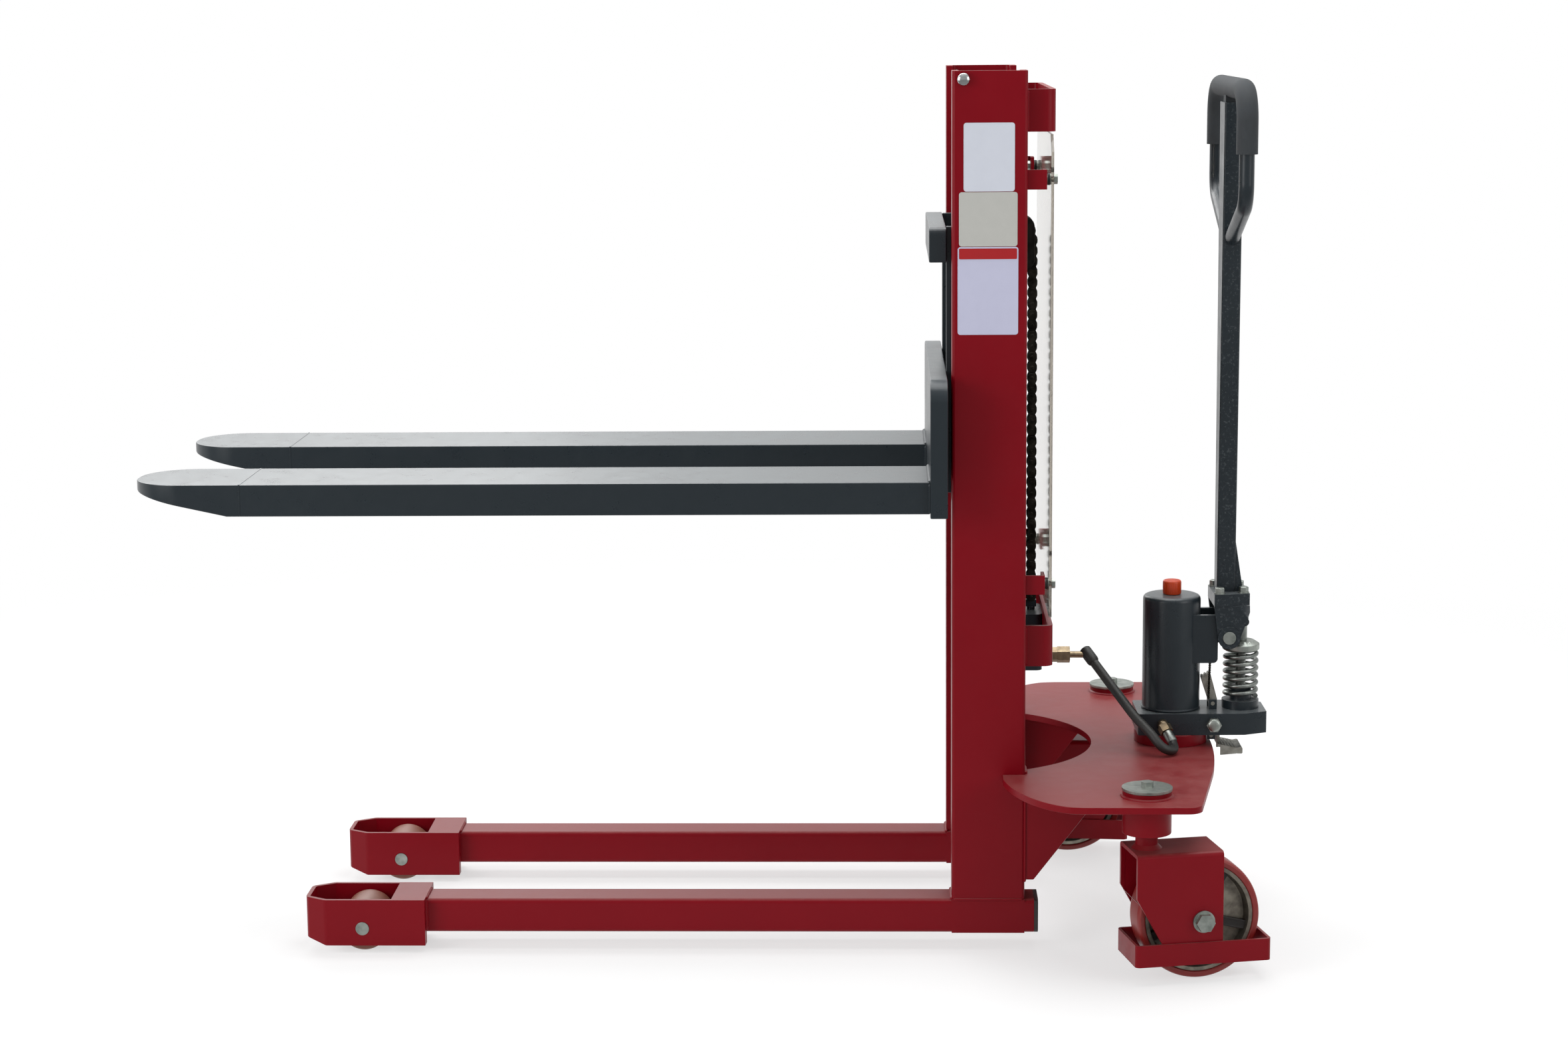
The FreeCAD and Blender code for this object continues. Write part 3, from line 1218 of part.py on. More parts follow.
def pump():
    """Valve block, reservoir, filler cap, pivot bracket, plunger and spring."""
    half = BLOCK_WIDTH / 2
    tail = BLOCK_TAIL / 2
    body = slab("z", [
        (-BLOCK_FRONT, -half, BLOCK_CORNER),
        (BLOCK_SHOULDER, -half, 0),
        (BLOCK_REAR, -tail, 0),
        (BLOCK_REAR, tail, 0),
        (BLOCK_SHOULDER, half, 0),
        (-BLOCK_FRONT, half, BLOCK_CORNER),
    ], BLOCK_LOW, BLOCK_TOP)
    axis = vec(0, 0, 1)
    bore = PLUNGER / 2 + RUNNING_FIT
    collar = rod(COLLAR, vec(PLUNGER_X, 0, BLOCK_TOP), vec(PLUNGER_X, 0, COLLAR_TOP))
    guide = rod(GUIDE, vec(PLUNGER_X, 0, COLLAR_TOP), vec(PLUNGER_X, 0, GUIDE_TOP))
    well = rod(2 * bore, vec(PLUNGER_X, 0, BLOCK_LOW + PEDAL_SHEET / 2), vec(PLUNGER_X, 0, GUIDE_TOP))
    port_z = BLOCK_LOW + PUMP_PORT_RISE
    port = pin_across(PORT_BORE + 2 * SEAT_FIT, PUMP_PORT_X, port_z, -half, PORT_DEPTH - half)
    plug_z = BLOCK_LOW + BLOCK_HEIGHT / 2
    plug_hole = pin_across(PLUG_SHANK + 2 * SEAT_FIT, PLUG_X, plug_z, -half, PORT_DEPTH - half)
    ears = []
    lever_z = BLOCK_TOP + LEVER_LIFT
    lever_edge = LEVER_WIDTH / 2 + SIDE_PLAY
    pedal_z = BLOCK_LOW - PEDAL_DROP
    pedal_edge = PEDAL_ARM / 2 + SIDE_PLAY
    for sign in (-1, 1):
        y = sorted((sign * lever_edge, sign * (lever_edge + EAR)))
        ears.append(block(LEVER_X - LEVER_PIN, LEVER_X + LEVER_PIN, LEVER_SHIFT + y[0], LEVER_SHIFT + y[1],
                          BLOCK_TOP, lever_z + LEVER_PIN))
        y = sorted((sign * pedal_edge, sign * (pedal_edge + EAR)))
        ears.append(block(PEDAL_X - PEDAL_PIN, PEDAL_X + PEDAL_PIN, y[0], y[1],
                          pedal_z - PEDAL_PIN, BLOCK_LOW))
    holes = [
        pin_across(LEVER_PIN + 2 * RUNNING_FIT, LEVER_X, lever_z, LEVER_SHIFT - lever_edge - EAR,
                   LEVER_SHIFT + lever_edge + EAR),
        pin_across(PEDAL_PIN + 2 * RUNNING_FIT, PEDAL_X, pedal_z, -pedal_edge - EAR, pedal_edge + EAR),
    ]
    pad = rod(PAD + 2 * WELD_GAP, vec(0, 0, BASE_TOP), vec(0, 0, BLOCK_LOW))
    body = join(body, collar, guide, *[ear.cut(pad) for ear in ears]).cut([well, port, plug_hole, *holes])
    keep("pump_block", at_pump(body))

    throat = CAP_SPIGOT / 2 + RUNNING_FIT
    radius = RESERVOIR / 2
    inside = radius - RESERVOIR_WALL
    lid = RESERVOIR_TOP - RESERVOIR_WALL
    tank = turned([
        (0, BLOCK_TOP),
        (radius, BLOCK_TOP),
        (radius, RESERVOIR_TOP - RESERVOIR_ROUND),
        (radius - RESERVOIR_ROUND * 0.3, RESERVOIR_TOP - RESERVOIR_ROUND * 0.3),
        (radius - RESERVOIR_ROUND, RESERVOIR_TOP),
        (throat, RESERVOIR_TOP),
        (throat, lid),
        (inside, lid),
        (inside, BLOCK_TOP + RESERVOIR_WALL),
        (0, BLOCK_TOP + RESERVOIR_WALL),
    ], vec(0, 0, 0), axis)
    keep("oil_reservoir", at_pump(tank))

    cap_low = RESERVOIR_TOP + SIDE_PLAY
    knob = rod(CAP, vec(0, 0, cap_low), vec(0, 0, RESERVOIR_TOP + CAP_HEIGHT))
    flutes = []
    for step in range(CAP_FLUTES):
        angle = 2 * math.pi * step / CAP_FLUTES
        foot = vec(CAP / 2 * math.cos(angle), CAP / 2 * math.sin(angle), cap_low + CAP_HEIGHT / 4)
        flutes.append(rod(CAP_FLUTE, foot, foot.add(vec(0, 0, CAP_HEIGHT))))
    spigot = rod(CAP_SPIGOT, vec(0, 0, lid - RESERVOIR_WALL), vec(0, 0, cap_low))
    keep("filler_cap", at_pump(join(knob.cut(flutes), spigot)))

    boss = PIVOT_BOSS / 2
    lugs = []
    for low in (LUG_GAP / 2, -LUG_GAP / 2 - LUG):
        plate = slab("y", [
            (0, LUG_FOOT, 0),
            (LUG_BACK, LUG_FOOT, LUG_CORNER),
            (LUG_BACK, PIVOT_Z - boss * 0.5, 0),
            (PIVOT_X, PIVOT_Z, 0),
            (PIVOT_X, PIVOT_Z + boss * 0.9, 0),
            (LUG_BACK, LUG_HEAD, 0),
            (0, LUG_HEAD, 0),
        ], low, low + LUG)
        lugs.append(join(plate, pin_across(PIVOT_BOSS, PIVOT_X, PIVOT_Z, low, low + LUG)))
    web = block(0, radius + LUG / 2, -LUG_GAP / 2, LUG_GAP / 2, LUG_FOOT, PIVOT_Z)
    reach = LUG_GAP / 2 + LUG + SIDE_PLAY + CHEEK_PLATE
    pin_hole = pin_across(PIVOT_PIN + 2 * SEAT_FIT, PIVOT_X, PIVOT_Z, -reach, reach)
    tank_seat = rod(RESERVOIR + 2 * WELD_GAP, vec(0, 0, BLOCK_TOP), vec(0, 0, RESERVOIR_TOP))
    keep("pivot_bracket", at_pump(join(web, *lugs).cut([tank_seat, pin_hole])))
    keep("pivot_pin", at_pump(pin_across(PIVOT_PIN, PIVOT_X, PIVOT_Z, -reach - 2, reach + 2)))

    plunger = turned([
        (0, PLUNGER_FOOT),
        (PLUNGER / 2, PLUNGER_FOOT),
        (PLUNGER / 2, SEAT_TOP),
        (PLUNGER_HEAD / 2, SEAT_TOP),
        (PLUNGER_HEAD / 2, HEAD_TOP),
        (0, HEAD_TOP),
    ], vec(PLUNGER_X, 0, 0), axis)
    keep("pump_plunger", at_pump(plunger))
    edge = SPRING_SEAT / 2
    hole = PLUNGER / 2 + SEAT_FIT
    seat = turned([
        (hole, SEAT_LOW),
        (edge - SEAT_FOOT, SEAT_LOW),
        (edge, SEAT_LOW + SEAT_EDGE),
        (edge, SEAT_TOP - SEAT_SLOPE),
        (edge - SEAT_CROWN, SEAT_TOP),
        (hole, SEAT_TOP),
    ], vec(PLUNGER_X, 0, 0), axis)
    keep("spring_seat", at_pump(seat))

    margin = SPRING_WIRE / 2 + SIDE_PLAY
    path = spring_path((SPRING - SPRING_WIRE) / 2, COLLAR_TOP + margin, SEAT_LOW - margin, SPRING_TURNS)
    gap = least_gap(path, SPRING_TURNS, SPRING_WIRE)
    spring = sweep(path, SPRING_WIRE)
    spring.translate(vec(PLUNGER_X, 0, 0))
    keep("plunger_spring", at_pump(spring))
    print("spring: least gap %.2f mm, volume share %.4f" % (
        gap, spring.Volume / (math.pi * SPRING_WIRE ** 2 / 4 * path.Length)))


def pin_across(diameter, x, z, y0, y1):
    """Round bar across the machine or the pump."""
    return rod(diameter, vec(x, y0, z), vec(x, y1, z))


def release_gear():
    """Release lever with its bead chain, and the lowering pedal under the block."""
    pin_z = BLOCK_TOP + LEVER_LIFT
    half = LEVER_WIDTH / 2
    lean = LEVER_X - LEVER_ARM - RESERVOIR / 2 - 2 * SIDE_PLAY
    top = pin_z + LEVER_HEIGHT
    arm = slab("y", [
        (LEVER_X - LEVER_ARM / 2, pin_z - LEVER_PIN, 2),
        (LEVER_X + LEVER_ARM, pin_z - LEVER_PIN, 2),
        (LEVER_X + LEVER_ARM, pin_z + LEVER_PIN, 2),
        (LEVER_X - lean + LEVER_ARM, top, 2),
        (LEVER_X - lean - LEVER_ARM, top - LEVER_ARM, 2),
        (LEVER_X - LEVER_ARM, pin_z + LEVER_PIN, 2),
    ], LEVER_SHIFT - half, LEVER_SHIFT + half)
    ribs = []
    for step in range(LEVER_RIBS):
        share = (step + 0.5) / LEVER_RIBS
        x = LEVER_X - lean + LEVER_ARM - 2 * LEVER_ARM * share
        z = top - LEVER_ARM * share
        ribs.append(pin_across(LEVER_ARM / 2, x, z, LEVER_SHIFT - half, LEVER_SHIFT + half))
    reach = half + SIDE_PLAY + EAR
    pin = pin_across(LEVER_PIN, LEVER_X, pin_z, LEVER_SHIFT - reach, LEVER_SHIFT + reach)
    keep("release_lever", at_pump(join(arm, pin, *ribs)))

    y = LEVER_SHIFT - half - SIDE_PLAY - BEAD / 2
    start = vec(LEVER_X - LEVER_ARM, y, pin_z + LEVER_PIN + BEAD)
    end = vec(LUG_BACK - LUG_CORNER - BEAD, -LUG_GAP / 2 - LUG / 2, LUG_FOOT - BEAD / 2)
    step = end.sub(start).multiply(1 / (BEAD_COUNT - 1))
    beads = [Part.makeSphere(BEAD / 2, start.add(step * k)) for k in range(BEAD_COUNT)]
    keep("release_chain", at_pump(join(rod(BEAD / 2, start, end), *beads)))

    keep("lowering_pedal", at_pump(pedal()))


def pedal():
    """Pressed tread with side skirts on a stepped arm that reaches over the plate's rear edge."""
    pin_z = BLOCK_LOW - PEDAL_DROP
    sheet = PEDAL_SHEET
    top = pin_z + sheet / 2
    low = top - PEDAL_STEP
    start = PEDAL_STEP_X + sheet
    tip = start + PEDAL_LENGTH
    arm = slab("y", [
        (PEDAL_X, top - sheet, 0),
        (PEDAL_STEP_X, top - sheet, 0),
        (PEDAL_STEP_X, low - sheet, 0),
        (start, low - sheet, 0),
        (start, top, 0),
        (PEDAL_X, top, 0),
    ], -PEDAL_ARM / 2, PEDAL_ARM / 2)
    edge = PEDAL_WIDTH / 2
    tread = slab("y", [
        (PEDAL_STEP_X, low - sheet, 0),
        (tip, low - sheet - PEDAL_FALL, 0),
        (tip, low - PEDAL_FALL, 0),
        (PEDAL_STEP_X, low, 0),
    ], -edge, edge)
    nose = slab("y", [
        (tip, low - PEDAL_FALL - PEDAL_NOSE, 1),
        (tip + PEDAL_NOSE, low - PEDAL_FALL - PEDAL_NOSE, 2),
        (tip + PEDAL_NOSE, low - PEDAL_FALL + sheet / 2, 3),
        (tip, low - PEDAL_FALL, 0),
    ], -edge, edge)
    sides = []
    for y in (-edge, edge - sheet):
        sides.append(slab("y", [
            (start, low - PEDAL_SKIRT, 0),
            (tip, low - PEDAL_FALL - PEDAL_NOSE, 0),
            (tip, low - PEDAL_FALL, 0),
            (start, low - sheet / 2, 0),
        ], y, y + sheet))
    ribs = []
    for step in range(PEDAL_RIBS):
        share = (step + 0.5) / PEDAL_RIBS
        x = start + PEDAL_LENGTH * share
        z = low - PEDAL_FALL * (x - PEDAL_STEP_X) / (tip - PEDAL_STEP_X)
        ribs.append(pin_across(sheet / 2, x, z, sheet - edge, edge - sheet))
    reach = PEDAL_ARM / 2 + SIDE_PLAY + EAR
    return join(arm, tread, nose, *sides, *ribs, pin_across(PEDAL_PIN, PEDAL_X, pin_z, -reach, reach))


def handle():
    """Handle yoke with its push roller, tube with its loop, grip and flange bolts."""
    inner = LUG_GAP / 2 + LUG + SIDE_PLAY
    half = inner + CHEEK_PLATE
    foot_x0 = HANDLE_X + FOOT_SHIFT - FOOT_LENGTH / 2
    foot_x1 = HANDLE_X + FOOT_SHIFT + FOOT_LENGTH / 2
    wide = FOOT_WIDTH / 2
    tail = FOOT_TAIL / 2
    neck = YOKE_TOP - YOKE_PAD
    boss = PIVOT_BOSS / 2
    cheeks = []
    for sign in (-1, 1):
        low, high = sorted((sign * inner, sign * (half - BOSS_STEP)))
        cheek = slab("y", [
            (foot_x0, neck, 0),
            (PIVOT_X - boss, PIVOT_Z, 0),
            (PIVOT_X + boss * 0.8, PIVOT_Z - boss * 0.5, 0),
            (ROLLER_X - CHEEK_REACH / 4, ROLLER_Z - CHEEK_REACH, CHEEK_REACH / 4),
            (foot_x1, neck - YOKE_PAD, 0),
            (foot_x1, neck, 0),
        ], low, high)
        low, high = sorted((sign * inner, sign * half))
        cheeks.append(join(cheek, pin_across(PIVOT_BOSS, PIVOT_X, PIVOT_Z, low, high)))
    outline = [
        (foot_x0, -wide, 0),
        (foot_x0 + FOOT_WAIST, -wide, 0),
        (foot_x1, -tail, 0),
        (foot_x1, tail, 0),
        (foot_x0 + FOOT_WAIST, wide, 0),
        (foot_x0, wide, 0),
    ]
    pad = slab("z", outline, neck, YOKE_TOP)
    facets = []
    for sign in (-1, 1):
        top = Part.Face(Part.makePolygon([
            vec(foot_x0 + FOOT_WAIST, sign * wide, YOKE_TOP),
            vec(foot_x1, sign * tail, YOKE_TOP),
            vec(foot_x1 + FOOT_LENGTH, sign * tail, YOKE_TOP),
            vec(foot_x1 + FOOT_LENGTH, sign * 2 * wide, YOKE_TOP),
            vec(foot_x0 + FOOT_WAIST, sign * 2 * wide, YOKE_TOP),
            vec(foot_x0 + FOOT_WAIST, sign * wide, YOKE_TOP),
        ]))
        facets.append(top.extrude(vec(FOOT_TAPER * 0.8, 0, -FOOT_TAPER)))
    clear = PIVOT_PIN / 2 + RUNNING_FIT
    face = PLUNGER_HEAD / 2
    bolt_at = []
    for side in (-1, 1):
        bolt_at.append((foot_x0 + FOOT_BOLT_INSET, side * (wide - FOOT_BOLT_INSET)))
        bolt_at.append((foot_x1 - FOOT_BOLT_INSET, side * (tail - FOOT_BOLT)))
    shanks = [rod(FOOT_BOLT + 2 * SEAT_FIT, vec(x, y, neck), vec(x, y, FOOT_TOP)) for x, y in bolt_at]
    pivot = pin_across(2 * clear, PIVOT_X, PIVOT_Z, -half, half)
    pin = pin_across(ROLLER_PIN, ROLLER_X, ROLLER_Z, BOSS_STEP - half, half - BOSS_STEP)
    spacers = [pin_across(ROLLER_SPACER, ROLLER_X, ROLLER_Z, *sorted((sign * (face + SIDE_PLAY), sign * inner)))
               for sign in (-1, 1)]
    yoke = join(pad, *cheeks).cut(facets)
    yoke = join(yoke, pin, *spacers).cut([pivot, *shanks])
    keep("handle_yoke", at_pump(yoke))

    bore = ROLLER_PIN / 2 + RUNNING_FIT
    roller = turned([
        (bore, -face),
        (PUMP_ROLLER / 2, -face),
        (PUMP_ROLLER / 2, face),
        (bore, face),
    ], vec(ROLLER_X, 0, ROLLER_Z), vec(0, 1, 0))
    keep("pump_roller", at_pump(roller))

    left = HANDLE_X - HANDLE_TUBE / 2
    right = HANDLE_X + HANDLE_TUBE / 2
    corner = HANDLE_WALL
    low = HANDLE_FOOT / 2
    high = HANDLE_HEAD / 2
    post = slab("x", [(-low, FOOT_TOP, 0), (low, FOOT_TOP, 0), (high, HANDLE_TOP, 0), (-high, HANDLE_TOP, 0)],
                left, right)
    post = post.makeFillet(corner, [edge for edge in post.Edges if edge.Length > HANDLE_TOP / 2])
    flare = slab("y", [
        (right - corner, FOOT_TOP, 0),
        (right + HANDLE_FLARE, FOOT_TOP, 0),
        (right - corner, FOOT_TOP + FLARE_HEIGHT, 0),
    ], corner - low, low - corner)
    flange = slab("z", outline, YOKE_TOP, FOOT_TOP)
    hollow = slab("x", [
        (HANDLE_WALL - low, FOOT_TOP, 0),
        (low - HANDLE_WALL, FOOT_TOP, 0),
        (high - HANDLE_WALL, HANDLE_TOP, 0),
        (HANDLE_WALL - high, HANDLE_TOP, 0),
    ], left + HANDLE_WALL, right - HANDLE_WALL)
    loop_half = LOOP_WIDTH / 2
    root = low + (high - low) * (LOOP_ROOT - FOOT_TOP) / (HANDLE_TOP - FOOT_TOP) - HANDLE_WALL / 2
    loop = sweep(bent_path([
        vec(HANDLE_X, -root, LOOP_ROOT),
        vec(HANDLE_X, -loop_half, LOOP_SHOULDER),
        vec(HANDLE_X, -loop_half, LOOP_TOP),
        vec(HANDLE_X, loop_half, LOOP_TOP),
        vec(HANDLE_X, loop_half, LOOP_SHOULDER),
        vec(HANDLE_X, root, LOOP_ROOT),
    ], (LOOP_SHOULDER_RADIUS, LOOP_CORNER, LOOP_CORNER, LOOP_SHOULDER_RADIUS)), LOOP_BAR)
    frame = join(post.cut(hollow), flange.cut(shanks), flare.cut(hollow), loop.cut(hollow))
    keep("handle_tube", at_pump(frame))

    run = bent_path([
        vec(HANDLE_X, -loop_half, GRIP_END),
        vec(HANDLE_X, -loop_half, LOOP_TOP),
        vec(HANDLE_X, loop_half, LOOP_TOP),
        vec(HANDLE_X, loop_half, GRIP_END),
    ], (LOOP_CORNER, LOOP_CORNER))
    saddle = block(left + corner, right - corner, corner - low, low - corner, HANDLE_TOP, LOOP_TOP)
    foam = join(sweep(run, GRIP), saddle).cut(sweep(run, LOOP_BAR + 2 * SEAT_FIT))
    keep("handle_grip", at_pump(foam))

    bolts = []
    for x, y in bolt_at:
        head = hex_bar(1.6 * FOOT_BOLT, vec(x, y, FOOT_TOP), vec(x, y, FOOT_TOP + 0.7 * FOOT_BOLT))
        bolts.append(at_pump(join(rod(FOOT_BOLT, vec(x, y, neck), vec(x, y, FOOT_TOP)), head)))
    keep("flange_bolts", *bolts)


def valve_plug():
    """Hexagon plug in the near side of the valve block."""
    half = BLOCK_WIDTH / 2
    z = BLOCK_LOW + BLOCK_HEIGHT / 2
    shank = rod(PLUG_SHANK, vec(PLUG_X, PORT_DEPTH - half, z), vec(PLUG_X, -half, z))
    head = hex_bar(PLUG, vec(PLUG_X, -half, z), vec(PLUG_X, -half - PLUG * 0.4, z))
    return at_pump(join(shank, head))


def hose():
    """Hydraulic hose and the screwed fittings at its two ends."""
    start = STRAP_INSIDE
    spots = [start - PORT_DEPTH, start, start + NUT_LENGTH]
    spots.append(spots[-1] + COUPLING_LENGTH)
    spots.append(spots[-1] + FERRULE_LENGTH)
    line = [vec(x, 0, PORT_HEIGHT) for x in spots]
    along = vec(*CRIMP_AIM).normalize()
    outlet = line[4].add(along * CRIMP_LENGTH)
    fitting = join(rod(PORT_BORE, line[0], line[1]), hex_bar(NUT, line[1], line[2]),
                   hex_bar(COUPLING, line[2], line[3]), rod(FERRULE, line[3], line[4]),
                   rod(CRIMP, line[4].sub(along * CRIMP_BACK), outlet))
    keep("cylinder_hose_fitting", fitting)

    half = BLOCK_WIDTH / 2
    port_z = BLOCK_LOW + PUMP_PORT_RISE
    inner = vec(PUMP_PORT_X, PORT_DEPTH - half, port_z)
    face = vec(PUMP_PORT_X, -half, port_z)
    knee = vec(PUMP_PORT_X, -half - ELBOW_LENGTH, port_z)
    aim = vec(*ELBOW_AIM).normalize()
    tail = knee.add(aim * ELBOW_REACH)
    elbow = join(rod(PORT_BORE, inner, face), rod(ELBOW_HEX - 2, face, knee),
                 Part.makeSphere(ELBOW_HEX / 2 - 1, knee), rod(ELBOW_FERRULE, knee, tail),
                 hex_bar(ELBOW_HEX, knee.add(aim * 2), knee.add(aim * ELBOW_NUT)))
    keep("pump_hose_fitting", at_pump(elbow))

    end = pump_point(tail.x, tail.y, tail.z)
    lead = pump_point(*tail.add(aim * HOSE_LEAD))
    rise = PORT_HEIGHT - end.z
    route = [outlet, outlet.add(along * HOSE_RUN)]
    route += [vec(x, y, end.z + share * rise) for x, y, share in HOSE_ROUTE]
    route += [lead, end]
    radii = soft_radii(route)
    path = bent_path(route, radii)
    rubber = sweep(path, HOSE)
    keep("hydraulic_hose", rubber)
    print("hose: length %.0f mm, volume share %.4f, bend radii %s" % (
        path.Length, rubber.Volume / (math.pi * HOSE ** 2 / 4 * path.Length),
        ", ".join("%.0f" % radius for radius in radii)))


def main():
    os.makedirs("parts", exist_ok=True)
    mast()
    legs()
    roller_housings()
    base()
    guard_bolts = rear_straps()
    keep("frame_bolts", *guard_bolts, *stop_bolts(), strap_bolt(), valve_plug())
    lift_cylinder()
    lift_chain()
    ram()
    carriage()
    casters()
    pump()
    release_gear()
    handle()
    hose()


if __name__ == "__main__":
    main()
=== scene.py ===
import json
import logging
import math
from contextlib import contextmanager
from dataclasses import dataclass
from enum import Enum
from typing import Callable, Iterable, Iterator, Sequence

import bpy
from mathutils import Matrix, Vector


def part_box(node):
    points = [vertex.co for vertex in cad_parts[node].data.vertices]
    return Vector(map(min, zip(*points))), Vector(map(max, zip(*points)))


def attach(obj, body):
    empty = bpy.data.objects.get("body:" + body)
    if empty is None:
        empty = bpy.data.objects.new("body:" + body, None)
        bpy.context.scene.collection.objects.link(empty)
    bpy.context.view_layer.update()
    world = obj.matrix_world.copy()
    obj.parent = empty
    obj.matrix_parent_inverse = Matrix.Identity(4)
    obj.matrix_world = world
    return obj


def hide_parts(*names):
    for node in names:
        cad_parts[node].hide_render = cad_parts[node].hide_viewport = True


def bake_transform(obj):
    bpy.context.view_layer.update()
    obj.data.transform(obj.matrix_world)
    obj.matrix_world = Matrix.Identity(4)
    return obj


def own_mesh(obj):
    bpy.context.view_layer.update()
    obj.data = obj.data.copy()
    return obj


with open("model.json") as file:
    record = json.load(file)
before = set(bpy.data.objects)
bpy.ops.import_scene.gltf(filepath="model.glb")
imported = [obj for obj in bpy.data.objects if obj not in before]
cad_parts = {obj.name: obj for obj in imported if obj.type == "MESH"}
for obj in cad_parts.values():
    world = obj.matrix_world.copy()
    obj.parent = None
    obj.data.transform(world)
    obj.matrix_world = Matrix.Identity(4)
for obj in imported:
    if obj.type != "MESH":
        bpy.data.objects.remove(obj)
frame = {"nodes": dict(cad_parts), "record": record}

log = logging.getLogger("stacker")

Piece = bpy.types.Object
Socket = bpy.types.NodeSocket
Spot = tuple[float, float, float]
Extent = tuple[float, float, float, float]
Profile = Sequence[tuple[float, float]]

MM = 0.001
MAST_FRONT = 350.98153706
PUMP_X = 338.0
PUMP_YAW = math.radians(1.0)
PUMP_TURN = Matrix.Rotation(PUMP_YAW, 3, "Z")
KING_X = 274.0
KING_Y = 338.0
UP = Vector((0, 0, 1))
ACROSS = Vector((0, 1, 0))
REARWARD = Vector((1, 0, 0))
WHITE = (1, 1, 1, 1)
MERGE_REACH = 1e-6
CAD_MERGE_REACH = 2e-6
FLAT_ANGLE = math.radians(0.6)
SMOOTH_ANGLE = math.radians(32)


class Side(Enum):
    """The two sides of the machine, seen from the handle."""

    LEFT = "left"
    RIGHT = "right"

    @property
    def sign(self) -> int:
        """Sign of Y on this side."""
        return -1 if self is Side.LEFT else 1


class Pick(Enum):
    """What is selected in edit mode."""

    VERTS = (True, False, False)
    EDGES = (False, True, False)
    FACES = (False, False, True)


class Slot(Enum):
    """Material slots of the record."""

    RED = "red_paint"
    DARK = "dark_paint"
    ZINC = "zinc_steel"
    STEEL = "bare_steel"
    RAM = "chromed_ram"
    CHAIN = "oiled_chain"
    BRASS = "brass"
    RUBBER = "black_rubber"
    FOAM = "foam_grip"
    TREAD = "red_tread"
    NYLON = "roller_nylon"
    ORANGE = "orange_plastic"
    BLACK = "black_plastic"
    CLEAR = "clear_sheet"
    CAST = "grey_cast"


def at(x: float, y: float, z: float) -> Vector:
    """Turn millimetres behind the mast's front, right of the middle and over the floor into the frame."""
    return Vector((x + MAST_FRONT, y, z)) * MM


def at_pump(x: float, y: float, z: float) -> Vector:
    """Turn millimetres behind the reservoir's axis, to its right and over the floor into the frame."""
    spot = PUMP_TURN @ Vector((x, y, z))
    return at(spot.x + PUMP_X, spot.y, spot.z)


def stance(centre: Vector, axis: Vector = UP, turn: float = 0.0) -> Matrix:
    """Say how a form drawn about Z is turned about itself, laid on an axis and set on a centre."""
    tilt = UP.rotation_difference(axis.normalized()).to_matrix().to_4x4()
    return Matrix.Translation(centre) @ tilt @ Matrix.Rotation(turn, 4, "Z")


def mirrored(half: Profile) -> list[tuple[float, float]]:
    """Complete a profile from its upper half, which runs from the end to the middle."""
    return [(wide, -high) for wide, high in half] + list(reversed(half))


def pick_only(*objs: Piece) -> None:
    """Select these objects alone and make the first one active.

    Args:
        objs: objects to select.
    """
    bpy.ops.object.select_all(action="DESELECT")
    for obj in objs:
        obj.select_set(True)
    bpy.context.view_layer.objects.active = objs[0]


def mark(obj: Piece, pick: Pick, test: Callable[..., bool]) -> None:
    """Select the elements of a mesh that pass a test, and nothing else.

    Args:
        obj: mesh object in object mode.
        pick: which elements are tested.
        test: takes a vertex's place, an edge's two ends, or a face's middle and normal.
    """
    mesh = obj.data
    for elements in (mesh.vertices, mesh.edges, mesh.polygons):
        elements.foreach_set("select", [False] * len(elements))
    if pick is Pick.VERTS:
        for vertex in mesh.vertices:
            vertex.select = test(vertex.co)
    elif pick is Pick.EDGES:
        for edge in mesh.edges:
            edge.select = test(*[mesh.vertices[k].co for k in edge.vertices])
    else:
        for face in mesh.polygons:
            face.select = test(face.center, face.normal)


@contextmanager
def editing(obj: Piece, pick: Pick = Pick.VERTS, test: Callable[..., bool] | None = None) -> Iterator[None]:
    """Hold one object in edit mode, with all of it selected or only what passes a test.

    Args:
        obj: mesh object to edit.
        pick: what the selection is made of.
        test: asked of each element as in mark, or none to select all.

    Returns:
        A context that goes back to object mode at its end.
    """
    if test:
        mark(obj, pick, test)
    pick_only(obj)
    bpy.context.tool_settings.mesh_select_mode = pick.value
    bpy.ops.object.mode_set(mode="EDIT")
    if not test:
        bpy.ops.mesh.select_all(action="SELECT")
    try:
        yield
    finally:
        bpy.ops.object.mode_set(mode="OBJECT")


def place(obj: Piece, spot: Matrix) -> Piece:
    """Set a form in its place, and hand it back."""
    obj.data.transform(spot)
    return obj


def clean(obj: Piece) -> None:
    """Close seams and point every face outwards.

    Args:
        obj: mesh object to clean.
    """
    with editing(obj):
        bpy.ops.mesh.remove_doubles(threshold=MERGE_REACH)
        bpy.ops.mesh.normals_make_consistent(inside=False)


def soften(obj: Piece, width: float = 0.0, segments: int = 2, angle: float = 35.0) -> Piece:
    """Round the sharp edges of a piece and shade it smooth between them.

    Args:
        obj: mesh object.
        width: width of the rounding in millimetres, or none.
        segments: faces across the rounding.
        angle: edges sharper than this, in degrees, are rounded.

    Returns:
        The same object.
    """
    pick_only(obj)
    if width > 0:
        bevel = obj.modifiers.new("rounding", "BEVEL")
        bevel.width = width * MM
        bevel.segments = segments
        bevel.limit_method = "ANGLE"
        bevel.angle_limit = math.radians(angle)
        bpy.ops.object.modifier_apply(modifier=bevel.name)
    bpy.ops.object.shade_smooth_by_angle(angle=SMOOTH_ANGLE)
    if width > 0:
        flats = obj.modifiers.new("flat faces", "WEIGHTED_NORMAL")
        flats.weight = 100
        flats.keep_sharp = True
        bpy.ops.object.modifier_apply(modifier=flats.name)
    return obj


